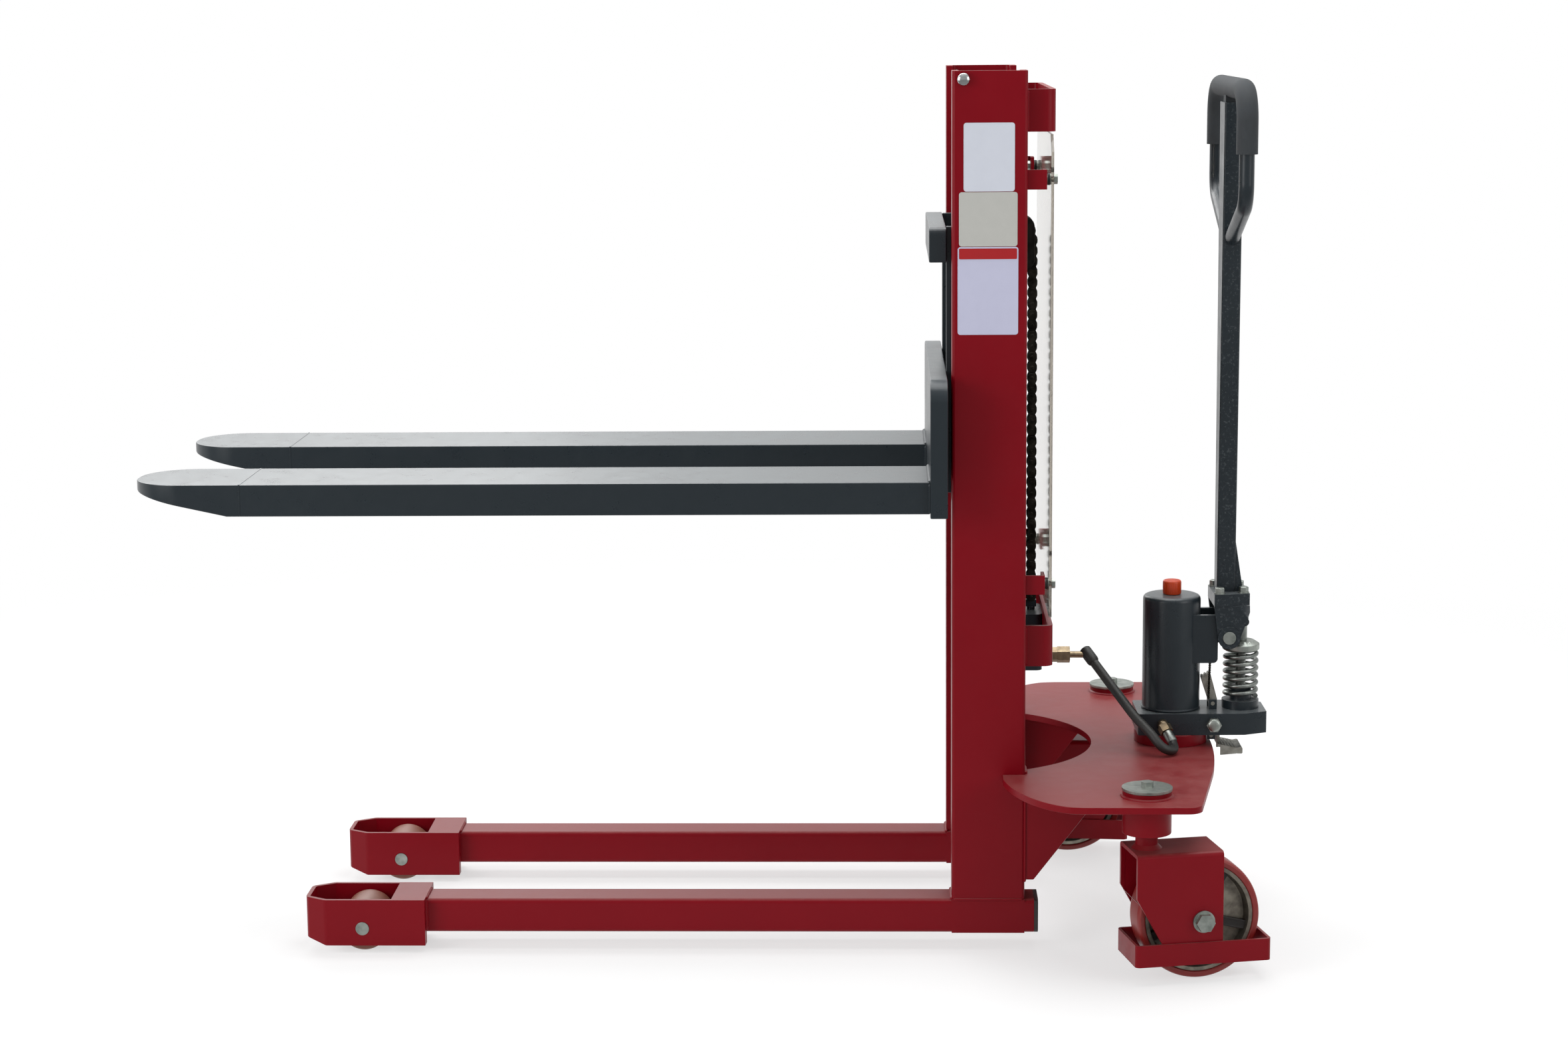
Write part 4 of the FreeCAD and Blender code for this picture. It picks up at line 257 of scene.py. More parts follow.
def turned(name: str, profile: Profile, sides: int = 64, solid: bool = True) -> Piece:
    """Draw a lathe-turned form about Z by extruding and scaling a ring.

    Args:
        name: name of the piece.
        profile: (radius, height) stations in millimetres.
        sides: vertices round the form.
        solid: a solid bar, or a ring whose last station joins the first.

    Returns:
        The closed form.
    """
    bpy.ops.object.select_all(action="DESELECT")
    radius, height = profile[0]
    fill = "NGON" if solid else "NOTHING"
    bpy.ops.mesh.primitive_circle_add(vertices=sides, radius=radius * MM, fill_type=fill)
    obj = bpy.context.object
    obj.name = name
    stations = list(profile[1:]) if solid else [*profile[1:], profile[0]]
    with editing(obj):
        bpy.ops.transform.translate(value=(0, 0, height * MM))
        for wide, high in stations:
            bpy.ops.mesh.extrude_region_move(TRANSFORM_OT_translate={"value": (0, 0, (high - height) * MM)})
            grow = wide / radius
            bpy.ops.transform.resize(value=(grow, grow, 1))
            radius, height = wide, high
    clean(obj)
    return obj


def bar(name: str, size: Sequence[float], centre: Vector) -> Piece:
    """Start a rectangular piece from a cube at its size and place.

    Args:
        name: name of the piece.
        size: edge lengths in millimetres.
        centre: middle of the piece in the frame.

    Returns:
        The cube, ready to be shaped.
    """
    bpy.ops.object.select_all(action="DESELECT")
    bpy.ops.mesh.primitive_cube_add(size=1)
    obj = bpy.context.object
    obj.name = name
    return place(obj, Matrix.LocRotScale(centre, None, Vector(size) * MM))


def copy_of(obj: Piece, name: str) -> Piece:
    """Copy a piece with a mesh of its own.

    Args:
        obj: piece to copy.
        name: name of the copy.

    Returns:
        The copy.
    """
    twin = bpy.data.objects.new(name, obj.data.copy())
    bpy.context.scene.collection.objects.link(twin)
    return twin


def joined(name: str, objs: Sequence[Piece]) -> Piece:
    """Join several meshes into one piece.

    Args:
        name: name of the piece.
        objs: meshes to join.

    Returns:
        The joined piece.
    """
    pick_only(*objs)
    bpy.ops.object.join()
    objs[0].name = name
    return objs[0]


def repeated(name: str, master: Piece, spots: Iterable[Matrix]) -> Piece:
    """Copy a modelled form to several places as one piece.

    Args:
        name: name of the piece.
        master: the form, which is thrown away afterwards.
        spots: stance of each copy.

    Returns:
        The joined copies.
    """
    twins = []
    for number, spot in enumerate(spots):
        twin = copy_of(master, "%s.%02d" % (name, number))
        twin.data.transform(spot)
        twins.append(twin)
    bpy.data.objects.remove(master)
    return joined(name, twins)


def carve(obj: Piece, cutter: Piece) -> None:
    """Cut a form out of a piece and throw the form away.

    Args:
        obj: piece that is cut.
        cutter: form that is cut out of it.
    """
    opening = obj.modifiers.new("opening", "BOOLEAN")
    opening.operation = "DIFFERENCE"
    opening.object = cutter
    pick_only(obj)
    bpy.ops.object.modifier_apply(modifier=opening.name)
    bpy.data.objects.remove(cutter)


def recast(node: str, width: float, cutter: Piece | None = None) -> Piece:
    """Copy a CAD node's shape, close it and round its edges as made metal has them.

    Args:
        node: CAD node that the piece stands for.
        width: width of the rounding in millimetres.
        cutter: form that is cut out of the copy, and then thrown away.

    Returns:
        The finished piece, which replaces the node.
    """
    obj = copy_of(frame["nodes"][node], node + ".made")
    obj.data.materials.clear()
    with editing(obj):
        bpy.ops.mesh.remove_doubles(threshold=CAD_MERGE_REACH)
        bpy.ops.mesh.dissolve_limited(angle_limit=FLAT_ANGLE)
    normals = obj.data.attributes.get("custom_normal")
    if normals:
        obj.data.attributes.remove(normals)
    if cutter:
        carve(obj, cutter)
    soften(obj, width)
    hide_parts(node)
    return obj


def body_of(node: str) -> str:
    """Name the body that a CAD node belongs to in the record."""
    bodies = frame["record"]["behaviour"]["bodies"]
    return next(body for body, members in bodies.items() if node in members)


def linear(code: str) -> tuple[float, float, float, float]:
    """Turn an sRGB hex colour into linear light.

    Args:
        code: colour such as "#8a0413".

    Returns:
        Linear red, green, blue and full alpha.
    """
    values = [int(code[k:k + 2], 16) / 255 for k in (1, 3, 5)]
    steps = [v / 12.92 if v <= 0.04045 else ((v + 0.055) / 1.055) ** 2.4 for v in values]
    return (*steps, 1.0)


class Net:
    """A shader tree that is filled node by node."""

    def __init__(self, tree: bpy.types.NodeTree) -> None:
        """Clear the tree and give it coordinates."""
        self.tree = tree
        tree.nodes.clear()
        self.coord = self.add("TexCoord").outputs

    def add(self, kind: str, settings: dict | None = None) -> bpy.types.Node:
        """Add one node with its settings and links.

        Args:
            kind: node type without its "ShaderNode" start.
            settings: lower-case names set the node itself, other keys set or feed its inputs.

        Returns:
            The new node.
        """
        node = self.tree.nodes.new("ShaderNode" + kind)
        for key, value in (settings or {}).items():
            if isinstance(value, Socket):
                self.tree.links.new(value, node.inputs[key])
            elif isinstance(key, str) and key[0].islower():
                setattr(node, key, value)
            else:
                node.inputs[key].default_value = value
        return node

    def noise(self, scale: float | Sequence[float], detail: float, roughness: float = 0.5) -> Socket:
        """Add noise in the object's own space.

        Args:
            scale: blotches in a metre, alike in all directions or along each axis.
            detail: octaves over the first.
            roughness: strength of each octave beside the one before.

        Returns:
            The noise.
        """
        vector = self.coord["Object"]
        if not isinstance(scale, float):
            vector = self.add("Mapping", {"Scale": scale, "Vector": vector}).outputs[0]
            scale = 1.0
        settings = {"Scale": scale, "Detail": detail, "Roughness": roughness, "Vector": vector}
        return self.add("TexNoise", settings).outputs["Fac"]

    def ramp(self, value: Socket, low: float = 0.0, high: float = 1.0, start: float = 0.0,
             end: float | Socket = 1.0) -> Socket:
        """Map a value from low and high to start and end, and hold it there."""
        return self.add("MapRange", {0: value, 1: low, 2: high, 3: start, 4: end}).outputs[0]

    def combine(self, operation: str, one: Socket, other: Socket) -> Socket:
        """Put two values together by one operation of the math node."""
        return self.add("Math", {"operation": operation, 0: one, 1: other}).outputs[0]

    def mix(self, share: Socket, first: str | Socket, second: str | Socket) -> Socket:
        """Mix a share of the second colour into the first, each a hex colour or what feeds it."""
        one, other = (linear(end) if isinstance(end, str) else end for end in (first, second))
        return self.add("Mix", {"data_type": "RGBA", 0: share, 6: one, 7: other}).outputs[2]

    def bump(self, height: Socket, strength: float, distance: float) -> Socket:
        """Turn a height, of a strength and a distance in metres, into a normal."""
        settings = {"Strength": strength, "Distance": distance, "Height": height}
        return self.add("Bump", settings).outputs["Normal"]


@dataclass(frozen=True)
class Finish:
    """What a piece is made of, and the record's slot for that."""

    name: str
    slot: Slot

    def sockets(self, net: Net) -> dict:
        """Say what each of the shader's sockets holds, a value or what feeds it."""
        raise NotImplementedError

    def material(self) -> bpy.types.Material:
        """Build the material, once."""
        if self.name in bpy.data.materials:
            return bpy.data.materials[self.name]
        material = bpy.data.materials.new(self.name)
        material.use_nodes = True
        net = Net(material.node_tree)
        shader = net.add("BsdfPrincipled", self.sockets(net))
        net.add("OutputMaterial", {"Surface": shader.outputs["BSDF"]})
        return material


@dataclass(frozen=True)
class Enamel(Finish):
    """Stoving enamel sprayed on steel plate: an even gloss with slight orange peel, dust on what faces up."""

    colour: str
    shade: str
    dust: str
    bare: str
    roughness: float = 0.36
    dust_share: float = 0.3
    patch_mm: float = 140.0
    peel_mm: float = 3.0
    gloss: float = 0.5

    def sockets(self, net: Net) -> dict:
        """Feed the enamel.

        Args:
            net: tree of the material.

        Returns:
            What the shader's sockets hold.
        """
        tone = net.mix(net.noise(1000 / self.patch_mm, 3.0), self.colour, self.shade)
        # Paint wears thin first on corners, in flecks of about 4 mm.
        edge = net.ramp(net.add("NewGeometry").outputs["Pointiness"], 0.56, 0.66)
        chip = net.ramp(net.noise(250.0, 4.0, 0.7), 0.56, 0.62, 0.0, 0.55)
        rubbed = net.mix(net.combine("MULTIPLY", edge, chip), tone, self.bare)
        # Dust settles on faces that look up, in patches of about 30 mm.
        facing = net.add("SeparateXYZ", {0: net.coord["Normal"]}).outputs["Z"]
        flat = net.ramp(facing, 0.55, 1.0, 0.0, self.dust_share)
        drift = net.noise(33.0, 6.0, 0.65)
        dusty = net.mix(net.combine("MULTIPLY", flat, drift), rubbed, self.dust)
        sheen = net.ramp(drift, 0.3, 0.7, self.roughness * 0.85, self.roughness * 1.2)
        # Real peel is about 1 mm, drawn three times as coarse so that it shows.
        peel = net.bump(net.noise(1000 / self.peel_mm, 1.0), 0.035, 0.0006)
        return {"Specular IOR Level": self.gloss, "Base Color": dusty, "Roughness": sheen, "Normal": peel}


@dataclass(frozen=True)
class Metal(Finish):
    """Bare or plated metal: tool marks run one way, and the surface is clouded in patches."""

    colour: str
    cloud: str
    roughness: float
    mark_mm: Spot = (2.0, 2.0, 2.0)
    cloud_mm: float = 12.0
    depth: float = 0.08

    def sockets(self, net: Net) -> dict:
        """Feed the metal.

        Args:
            net: tree of the material.

        Returns:
            What the shader's sockets hold.
        """
        cloud = net.noise(1000 / self.cloud_mm, 5.0)
        tone = net.mix(net.ramp(cloud, 0.35, 0.7), self.colour, self.cloud)
        rough = net.ramp(cloud, start=self.roughness * 0.75, end=min(1.0, self.roughness * 1.35))
        marks = net.bump(net.noise([1000 / size for size in self.mark_mm], 2.0), self.depth, 0.0004)
        return {"Metallic": 1.0, "Base Color": tone, "Roughness": rough, "Normal": marks}


@dataclass(frozen=True)
class Moulded(Finish):
    """Moulded plastic, rubber or foam: one colour through, with a fine skin and scuffed high spots."""

    colour: str
    scuff: str
    roughness: float
    grain_mm: float
    depth: float
    scuff_share: float = 0.3
    cells: bool = False

    def sockets(self, net: Net) -> dict:
        """Feed the moulding.

        Args:
            net: tree of the material.

        Returns:
            What the shader's sockets hold.
        """
        patch = net.noise(55.0, 6.0, 0.6)
        tone = net.mix(net.ramp(patch, 0.4, 0.8, 0.0, self.scuff_share), self.colour, self.scuff)
        rough = net.ramp(patch, start=self.roughness * 0.85, end=min(1.0, self.roughness * 1.2))
        grain = 1000 / self.grain_mm
        if self.cells:
            foam = net.add("TexVoronoi", {"Scale": grain, "Vector": net.coord["Object"]})
            skin = foam.outputs["Distance"]
        else:
            skin = net.noise(grain, 2.0)
        return {"Base Color": tone, "Roughness": rough, "Normal": net.bump(skin, self.depth, 0.0005)}


@dataclass(frozen=True)
class ClearSheet(Finish):
    """Clear acrylic sheet, hazed with age: a polished face with fine wiping scratches."""

    colour: str = "#d4ccc0"
    roughness: float = 0.05
    scratched: float = 0.14
    clear: float = 0.96
    refraction: float = 1.49

    def sockets(self, net: Net) -> dict:
        """Feed the sheet.

        Args:
            net: tree of the material.

        Returns:
            What the shader's sockets hold.
        """
        wipe = net.noise((400.0, 700.0, 40.0), 3.0)
        return {"Transmission Weight": self.clear, "IOR": self.refraction, "Base Color": linear(self.colour),
                "Roughness": net.ramp(wipe, 0.4, 0.8, self.roughness, self.scratched)}


RED = Enamel("red stoving enamel", Slot.RED, "#7b0212", "#720110", "#b08c86", "#4a1414", gloss=0.16)
SLATE = Enamel("slate grey stoving enamel", Slot.DARK, "#21292e", "#1d2429", "#9aa0a2", "#4b5154", 0.3, 0.55,
               gloss=0.35)
ZINC = Metal("zinc-plated steel", Slot.ZINC, "#a3a8a2", "#7e847f", 0.4)
STEEL = Metal("turned bright steel", Slot.STEEL, "#8d918c", "#6d716f", 0.34, (6.0, 6.0, 0.6))
CHROME = Metal("hard chrome", Slot.RAM, "#c9cccd", "#b4b8ba", 0.08, (30.0, 30.0, 0.5), depth=0.02)
CHAIN = Metal("oiled chain steel", Slot.CHAIN, "#3a3833", "#1d1c19", 0.4)
BLACKED = Metal("blackened steel", Slot.STEEL, "#2e2d2b", "#1d1c1b", 0.45)
POLISHED = Metal("polished cap nut", Slot.ZINC, "#b9bcbc", "#9da1a1", 0.16, depth=0.03)
BRASS = Metal("machined brass", Slot.BRASS, "#93836a", "#6f6352", 0.36, (0.6, 6.0, 6.0))
CAST = Metal("cast aluminium", Slot.CAST, "#a5a49c", "#85837b", 0.5, depth=0.2)
HUB = Metal("sand-cast aluminium", Slot.CAST, "#8b857a", "#67615a", 0.55, (3.0, 3.0, 3.0), depth=0.35)
RUBBER = Moulded("black hose rubber", Slot.RUBBER, "#1b1b19", "#353431", 0.5, 0.9, 0.2)
FOAM = Moulded("closed-cell foam", Slot.FOAM, "#2b2f32", "#40454a", 0.8, 0.8, 0.35, cells=True)
TREAD = Moulded("red polyurethane", Slot.TREAD, "#7c1411", "#8f4640", 0.42, 2.0, 0.1)
NYLON = Moulded("brown polyurethane", Slot.NYLON, "#7d4c3c", "#9a7263", 0.42, 2.0, 0.1)
# The spokes' near-black colour is painted shade, standing in for the shade deep inside the wheel.
SHADED_SPOKES = Moulded("spokes in painted shade", Slot.DARK, "#15100d", "#2b2520", 0.5, 1.5, 0.3)
ORANGE = Moulded("orange nylon", Slot.ORANGE, "#c43b02", "#b9430f", 0.42, 1.0, 0.1)
BLACK = Moulded("black polythene", Slot.BLACK, "#1c1614", "#3a3432", 0.45, 1.2, 0.15)
WHITE_PLATE = Moulded("white enamelled plate", Slot.RED, "#c6cad4", "#bcc0cb", 0.34, 2.0, 0.03)
LILAC_PLATE = Moulded("cool white enamelled plate", Slot.RED, "#b8b9cf", "#aeafc6", 0.34, 2.0, 0.03)
GREY_PLATE = Moulded("silver-grey enamelled plate", Slot.RED, "#b1b1ac", "#a5a5a0", 0.4, 1.2, 0.05)
RED_BAND = Moulded("red enamelled band", Slot.RED, "#a00d14", "#930a11", 0.34, 2.0, 0.03)
CLEAR = ClearSheet("clear acrylic", Slot.CLEAR)


def dress(obj: Piece, finish: Finish, body: str = "", node: str = "") -> None:
    """Give a piece its finish and set it on the body that carries it.

    Args:
        obj: finished mesh or curve.
        finish: what it is made of.
        body: body that it moves with, or none where it reaches from one to another.
        node: CAD node that it replaces, where that isn't said yet.
    """
    obj.data.materials.clear()
    obj.data.materials.append(finish.material())
    if body:
        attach(obj, body)
    if node:
        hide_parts(node)
    log.info("%s: %s, %s", obj.name, body or "between two bodies", finish.name)


def dress_nodes(finish: Finish, width: float, *nodes: str) -> None:
    """Recast several nodes in one finish.

    Args:
        finish: what they are made of.
        width: rounding of their edges in millimetres.
        nodes: CAD nodes.
    """
    for node in nodes:
        dress(recast(node, width), finish, body_of(node))


def weld_run(start: Vector, end: Vector, leg: float) -> Piece:
    """Lay a rippled weld bead along a joint, half of it sunk in the corner.

    Args:
        start: where the bead starts.
        end: where it stops.
        leg: its radius in millimetres.

    Returns:
        The bead.
    """
    length = (end - start).length / MM
    ripples = max(4, round(length / (1.3 * leg)))
    stations = [(leg * 0.5, 0.0)]
    for step in range(2 * ripples - 1):
        swell = 1.0 if step % 2 else 0.84
        stations.append((leg * swell, length * (step + 1) / (2 * ripples)))
    stations.append((leg * 0.5, length))
    bead = soften(turned("weld", stations, 10))
    return place(bead, stance(start, end - start))


def weld_ring(centre: Vector, inner: float, leg: float) -> Piece:
    """Lay a fillet weld round a boss that stands on a plate.

    Args:
        centre: middle of the boss on the plate's face.
        inner: radius of the boss in millimetres.
        leg: how far the bead reaches up and out in millimetres, below the plate where negative.

    Returns:
        The bead.
    """
    reach = abs(leg)
    root = inner - 0.5
    stations = [(root, 0), (inner + reach, 0), (inner + reach * 0.8, leg * 0.35),
                (inner + reach * 0.35, leg * 0.8), (root, leg)]
    return place(soften(turned("weld", stations, solid=False)), stance(centre))


@dataclass
class Studio:
    """Camera at the photograph's place, soft overhead light and a pale floor."""

    eye: Spot = (-99.33, -4550.22, 1372.32)
    pan: float = -0.0329
    tilt: float = 0.1665
    roll: float = 0.0088
    sensor: float = 36.0
    lens: float = 4587.9 / 2361 * 36
    floor_size: float = 60.0
    floor_drop: float = 0.0005
    aim: Spot = (0.1, 0.0, 0.6)
    lamps: tuple[tuple[str, Spot, tuple[float, float], float], ...] = (
        ("overhead", (0.2, 0.4, 3.6), (4.2, 3.2), 150.0),
        ("left fill", (-3.4, -2.9, 1.9), (2.4, 2.4), 92.0),
        ("right fill", (3.9, -2.9, 2.0), (2.4, 2.4), 42.0),
        ("rear fill", (-1.7, 3.7, 2.9), (2.6, 2.0), 55.0),
    )

    def camera(self) -> None:
        """Set the camera."""
        data = bpy.data.cameras.new("camera")
        data.lens = self.lens
        data.sensor_width = self.sensor
        data.sensor_fit = "HORIZONTAL"
        data.clip_end = 200.0
        camera = bpy.data.objects.new("camera", data)
        bpy.context.scene.collection.objects.link(camera)
        pan = Matrix.Rotation(-self.pan, 4, "Z")
        tilt = Matrix.Rotation(math.pi / 2 - self.tilt, 4, "X")
        roll = Matrix.Rotation(-self.roll, 4, "Z")
        camera.matrix_world = Matrix.Translation(at(*self.eye)) @ pan @ tilt @ roll
        bpy.context.scene.camera = camera

    def lights(self) -> None:
        """Hang the soft rectangular lamps, which all face the machine."""
        for name, spot, size, power in self.lamps:
            data = bpy.data.lights.new(name, "AREA")
            data.shape = "RECTANGLE"
            data.size, data.size_y = size
            data.energy = power
            lamp = bpy.data.objects.new(name, data)
            bpy.context.scene.collection.objects.link(lamp)
            turn = (Vector(self.aim) - Vector(spot)).to_track_quat("-Z", "Y").to_matrix().to_4x4()
            lamp.matrix_world = Matrix.Translation(spot) @ turn

    def room(self) -> None:
        """Set the room's own light."""
        world = bpy.data.worlds.new("studio")
        bpy.context.scene.world = world
        world.use_nodes = True
        net = Net(world.node_tree)
        path = net.add("LightPath").outputs
        shows = net.combine("MAXIMUM", path["Is Camera Ray"], path["Is Transmission Ray"])
        # Polished faces see the white room above and behind, and the dim hall in front.
        aim = net.add("SeparateXYZ", {0: net.coord["Generated"]}).outputs
        wall = net.ramp(aim["X"], -0.02, 0.12, 1.0, 0.5)
        behind = net.ramp(aim["Y"], -0.5, 0.2, 0.4, wall)
        above = net.ramp(aim["Z"], 0.25, 0.7)
        seen = net.combine("MAXIMUM", behind, above)
        gloss = net.combine("MULTIPLY", seen, path["Is Glossy Ray"])
        level = net.ramp(net.combine("MAXIMUM", shows, gloss), start=0.35)
        back = net.add("Background", {"Color": WHITE, "Strength": level})
        net.add("OutputWorld", {"Surface": back.outputs[0]})

    def floor(self) -> None:
        """Lay the pale floor, which keeps the machine's shadow."""
        bpy.ops.object.select_all(action="DESELECT")
        bpy.ops.mesh.primitive_plane_add(size=self.floor_size, location=(0, 0, -self.floor_drop))
        floor = bpy.context.object
        floor.name = "floor"
        material = bpy.data.materials.new("white paper floor")
        material.use_nodes = True
        net = Net(material.node_tree)
        path = net.add("LightPath").outputs
        spot = net.coord["Object"]
        paper = net.add("BsdfDiffuse", {"Color": net.mix(net.noise(6.0, 4.0), "#f4f4f4", "#f8f8f8")})
        # The paper is lit evenly out to the backdrop, and keeps the shadow under and round the machine.
        away = net.add("VectorMath", {"operation": "LENGTH", 0: spot}).outputs["Value"]
        shown = net.combine("MULTIPLY", path["Is Camera Ray"], net.ramp(away, 1.4, 3.0, 0.62))
        share = net.combine("MAXIMUM", shown, path["Is Glossy Ray"])
        # Polished faces see the lit paper under and behind the machine, and dim paper in front of it.
        lit = net.ramp(net.add("SeparateXYZ", {0: spot}).outputs["Y"], -1.2, 0.1, 0.36)
        level = net.ramp(path["Is Glossy Ray"], start=1.0, end=lit)
        glow = net.add("Emission", {"Color": WHITE, "Strength": level})
        mixed = net.add("MixShader", {0: share, 1: paper.outputs[0], 2: glow.outputs[0]})
        net.add("OutputMaterial", {"Surface": mixed.outputs[0]})
        floor.data.materials.append(material)

    def build(self) -> None:
        """Set up the whole studio."""
        bpy.context.scene.view_settings.view_transform = "Standard"
        self.camera()
        self.lights()
        self.room()
        self.floor()


@dataclass
class Hose:
    """Hydraulic hose from the cylinder's port to the valve block, with its boot and sleeve."""

    diameter: float = 14.0
    length: float = 0.234
    route: tuple[Spot, ...] = (
        (219.17, -8.29, 390.29),
        (261.05, -56.74, 339.38),
        (278.55, -76.99, 318.10),
        (298.0, -100.0, 301.95),
        (314.0, -113.0, 281.38),
        (329.0, -108.0, 274.21),
        (337.94, -86.86, 274.18),
        (331.41, -74.35, 285.35),
    )
    boot: Profile = ((4.0, -25.4), (7.4, -24.8), (9.0, -23.2), (9.3, -21.0), (9.3, -1.5), (8.8, 1.0),
                     (7.4, 3.0))
    sleeve: Profile = ((6.6, -12.0), (7.6, -11.0), (7.9, -2.0), (8.1, 6.0), (7.4, 7.5))

    def build(self) -> None:
        curve = bpy.data.curves.new("hose", "CURVE")
        curve.dimensions = "3D"
        spline = curve.splines.new("NURBS")
        spline.points.add(len(self.route) - 1)
        for point, spot in zip(spline.points, self.route):
            point.co = (*at(*spot), 1.0)
        spline.order_u = 3
        spline.use_endpoint_u = True
        spline.resolution_u = 16
        curve.bevel_depth = self.diameter / 2 * MM
        curve.bevel_resolution = 8
        curve.use_fill_caps = True
        hose = bpy.data.objects.new("hose", curve)
        bpy.context.scene.collection.objects.link(hose)
        dress(hose, RUBBER, "chassis", "hydraulic_hose")
        for name, profile, finish, (first, second, *_) in (
            ("hose_boot", self.boot, RUBBER, self.route),
            ("hose_sleeve", self.sleeve, STEEL, self.route[::-1]),
        ):
            obj = soften(turned(name, profile, 48))
            place(obj, stance(at(*first), Vector(second) - Vector(first)))
            dress(obj, finish, "chassis")


@dataclass
class Chassis:
    """Welded frame: mast, legs, base plate, straps and the plates riveted to the mast."""

    web_y: float = -216.0
    plate: float = 0.6
    plate_rim: float = 1.2
    plate_lip: float = 0.4
    plate_sink: float = 0.12
    # Name, lowest and highest X and Z, finish, lift off the web and corner radius of each bare plate.
    plates: tuple[tuple[str, Extent, Finish, float, float], ...] = (
        ("plate_upper", (16.3, 88.6, 1114.6, 1211.3), WHITE_PLATE, 0.0, 4.0),
        ("plate_middle", (9.8, 92.7, 1036.9, 1113.8), GREY_PLATE, 0.0, 4.0),
        ("plate_lower", (8.0, 94.1, 911.1, 1036.2), LILAC_PLATE, 0.0, 4.0),
        ("plate_band", (10.0, 92.1, 1018.9, 1034.0), RED_BAND, 0.6, 1.6),
    )
    base_top: float = 266.0
    base_thick: float = 10.0
    waste_at: tuple[float, float] = (115.0, 310.0)
    waste_size: Spot = (150.0, 240.0, 40.0)
    sweep_at: tuple[float, float] = (190.0, 190.0)
    sweep: tuple[float, float] = (120.0, 217.0)
    king_radius: float = 35.0
    king_leg: float = 3.2
    king_leg_below: float = 6.0
    stop_bolt: Spot = (16.0, 222.6, 1272.0)
    lug: tuple[float, float] = (135.0, 188.0)
    lug_heights: tuple[float, float] = (1130.0, 545.0)
    # Start, end and leg of each bead on the right half.
    beads: tuple[tuple[Spot, Spot, float], ...] = (
        ((3.0, 216.0, 77.0), (104.0, 216.0, 77.0), 2.2),  # mast web on its leg
        ((0.0, 213.84, 77.5), (0.0, 158.0, 77.5), 3.0),  # mast front on its leg
        ((107.0, 216.0, 104.0), (107.0, 216.0, 254.0), 2.2),  # gusset on the mast
        ((107.5, 211.68, 267.0), (107.5, 172.0, 267.0), 3.5),  # base plate on the mast
        ((108.0, 190.5, 1199.0), (108.0, 190.5, 1255.0), 2.6),  # upper strap
        ((108.0, 190.5, 424.0), (108.0, 190.5, 480.0), 2.6),  # lower strap
        ((-777.0, 216.0, 30.0), (-777.0, 216.0, 76.0), 3.0),  # side of the roller housing
        ((-777.0, 212.76, 77.5), (-777.0, 158.0, 77.5), 2.6),  # top of the roller housing
    )

    def labels(self) -> None:
        """Make the bare plates on the mast's near web."""
        for name, (x0, x1, z0, z1), finish, lift, corner in self.plates:
            middle = at((x0 + x1) / 2, self.web_y - lift - self.plate / 2, (z0 + z1) / 2)
            obj = bar(name, (x1 - x0, self.plate, z1 - z0), middle)
            with editing(obj, Pick.EDGES, lambda one, other: abs(one.y - other.y) > self.plate / 2 * MM):
                bpy.ops.mesh.bevel(offset=corner * MM, segments=6, affect="EDGES")
            with editing(obj, Pick.FACES, lambda centre, normal: normal.y < -0.9):
                bpy.ops.mesh.inset(thickness=self.plate_rim * MM, depth=0.0)
                bpy.ops.mesh.inset(thickness=self.plate_lip * MM, depth=-self.plate_sink * MM)
            dress(soften(obj, 0.2), finish, "chassis")

    def base_plate(self) -> None:
        """Cut the rear base plate with the wide sweep of its two front corners."""
        wide, deep = self.sweep
        middle = self.base_top - self.base_thick / 2
        height = self.waste_size[2]
        wastes = []
        for sign in (-1, 1):
            waste = bar("waste", self.waste_size, at(self.waste_at[0], sign * self.waste_at[1], middle))
            sweep = turned("sweep", mirrored([(wide, height)]), 160)
            with editing(sweep):
                bpy.ops.transform.resize(value=(1, deep / wide, 1))
            place(sweep, stance(at(self.sweep_at[0], sign * self.sweep_at[1], middle)))
            carve(waste, sweep)
            wastes.append(waste)
        plate = recast("rear_base_plate", 1.2, joined("waste", wastes))
        dress(plate, RED, "chassis")

    def welds(self) -> None:
        """Lay the weld beads that show on the frame."""
        beads = []
        for sign in (-1, 1):
            for (x0, y0, z0), (x1, y1, z1), leg in self.beads:
                beads.append(weld_run(at(x0, sign * y0, z0), at(x1, sign * y1, z1), leg))
            king = at(KING_X, sign * KING_Y, self.base_top)
            beads.append(weld_ring(king, self.king_radius, self.king_leg))
            beads.append(weld_ring(king - UP * self.base_thick * MM, self.king_radius, -self.king_leg_below))
        dress(joined("frame_welds", beads), RED, "chassis")

    def stop_bolts(self) -> None:
        """Dome the heads of the two bolts that stop the carriage at the mast's top."""
        x, y, z = self.stop_bolt
        head = soften(turned("stop_bolt", [(8.6, 0.0), (8.8, 1.2), (8.0, 3.0), (5.6, 4.4), (2.0, 5.0)], 40))
        spots = [stance(at(x, sign * y, z), ACROSS * sign) for sign in (-1, 1)]
        dress(repeated("stop_bolt_heads", head, spots), POLISHED, "chassis")

    def spacers(self) -> None:
        """Set a rubber spacer between each guard lug and the clear sheet."""
        x, y = self.lug
        ring = soften(turned("spacer", [(7.2, 0.3), (8.6, 1.4), (8.6, 4.4), (7.2, 5.6)], 32), 0.3)
        spots = [stance(at(x, sign * y, z), REARWARD) for z in self.lug_heights for sign in (-1, 1)]
        dress(repeated("guard_spacers", ring, spots), RUBBER, "chassis")

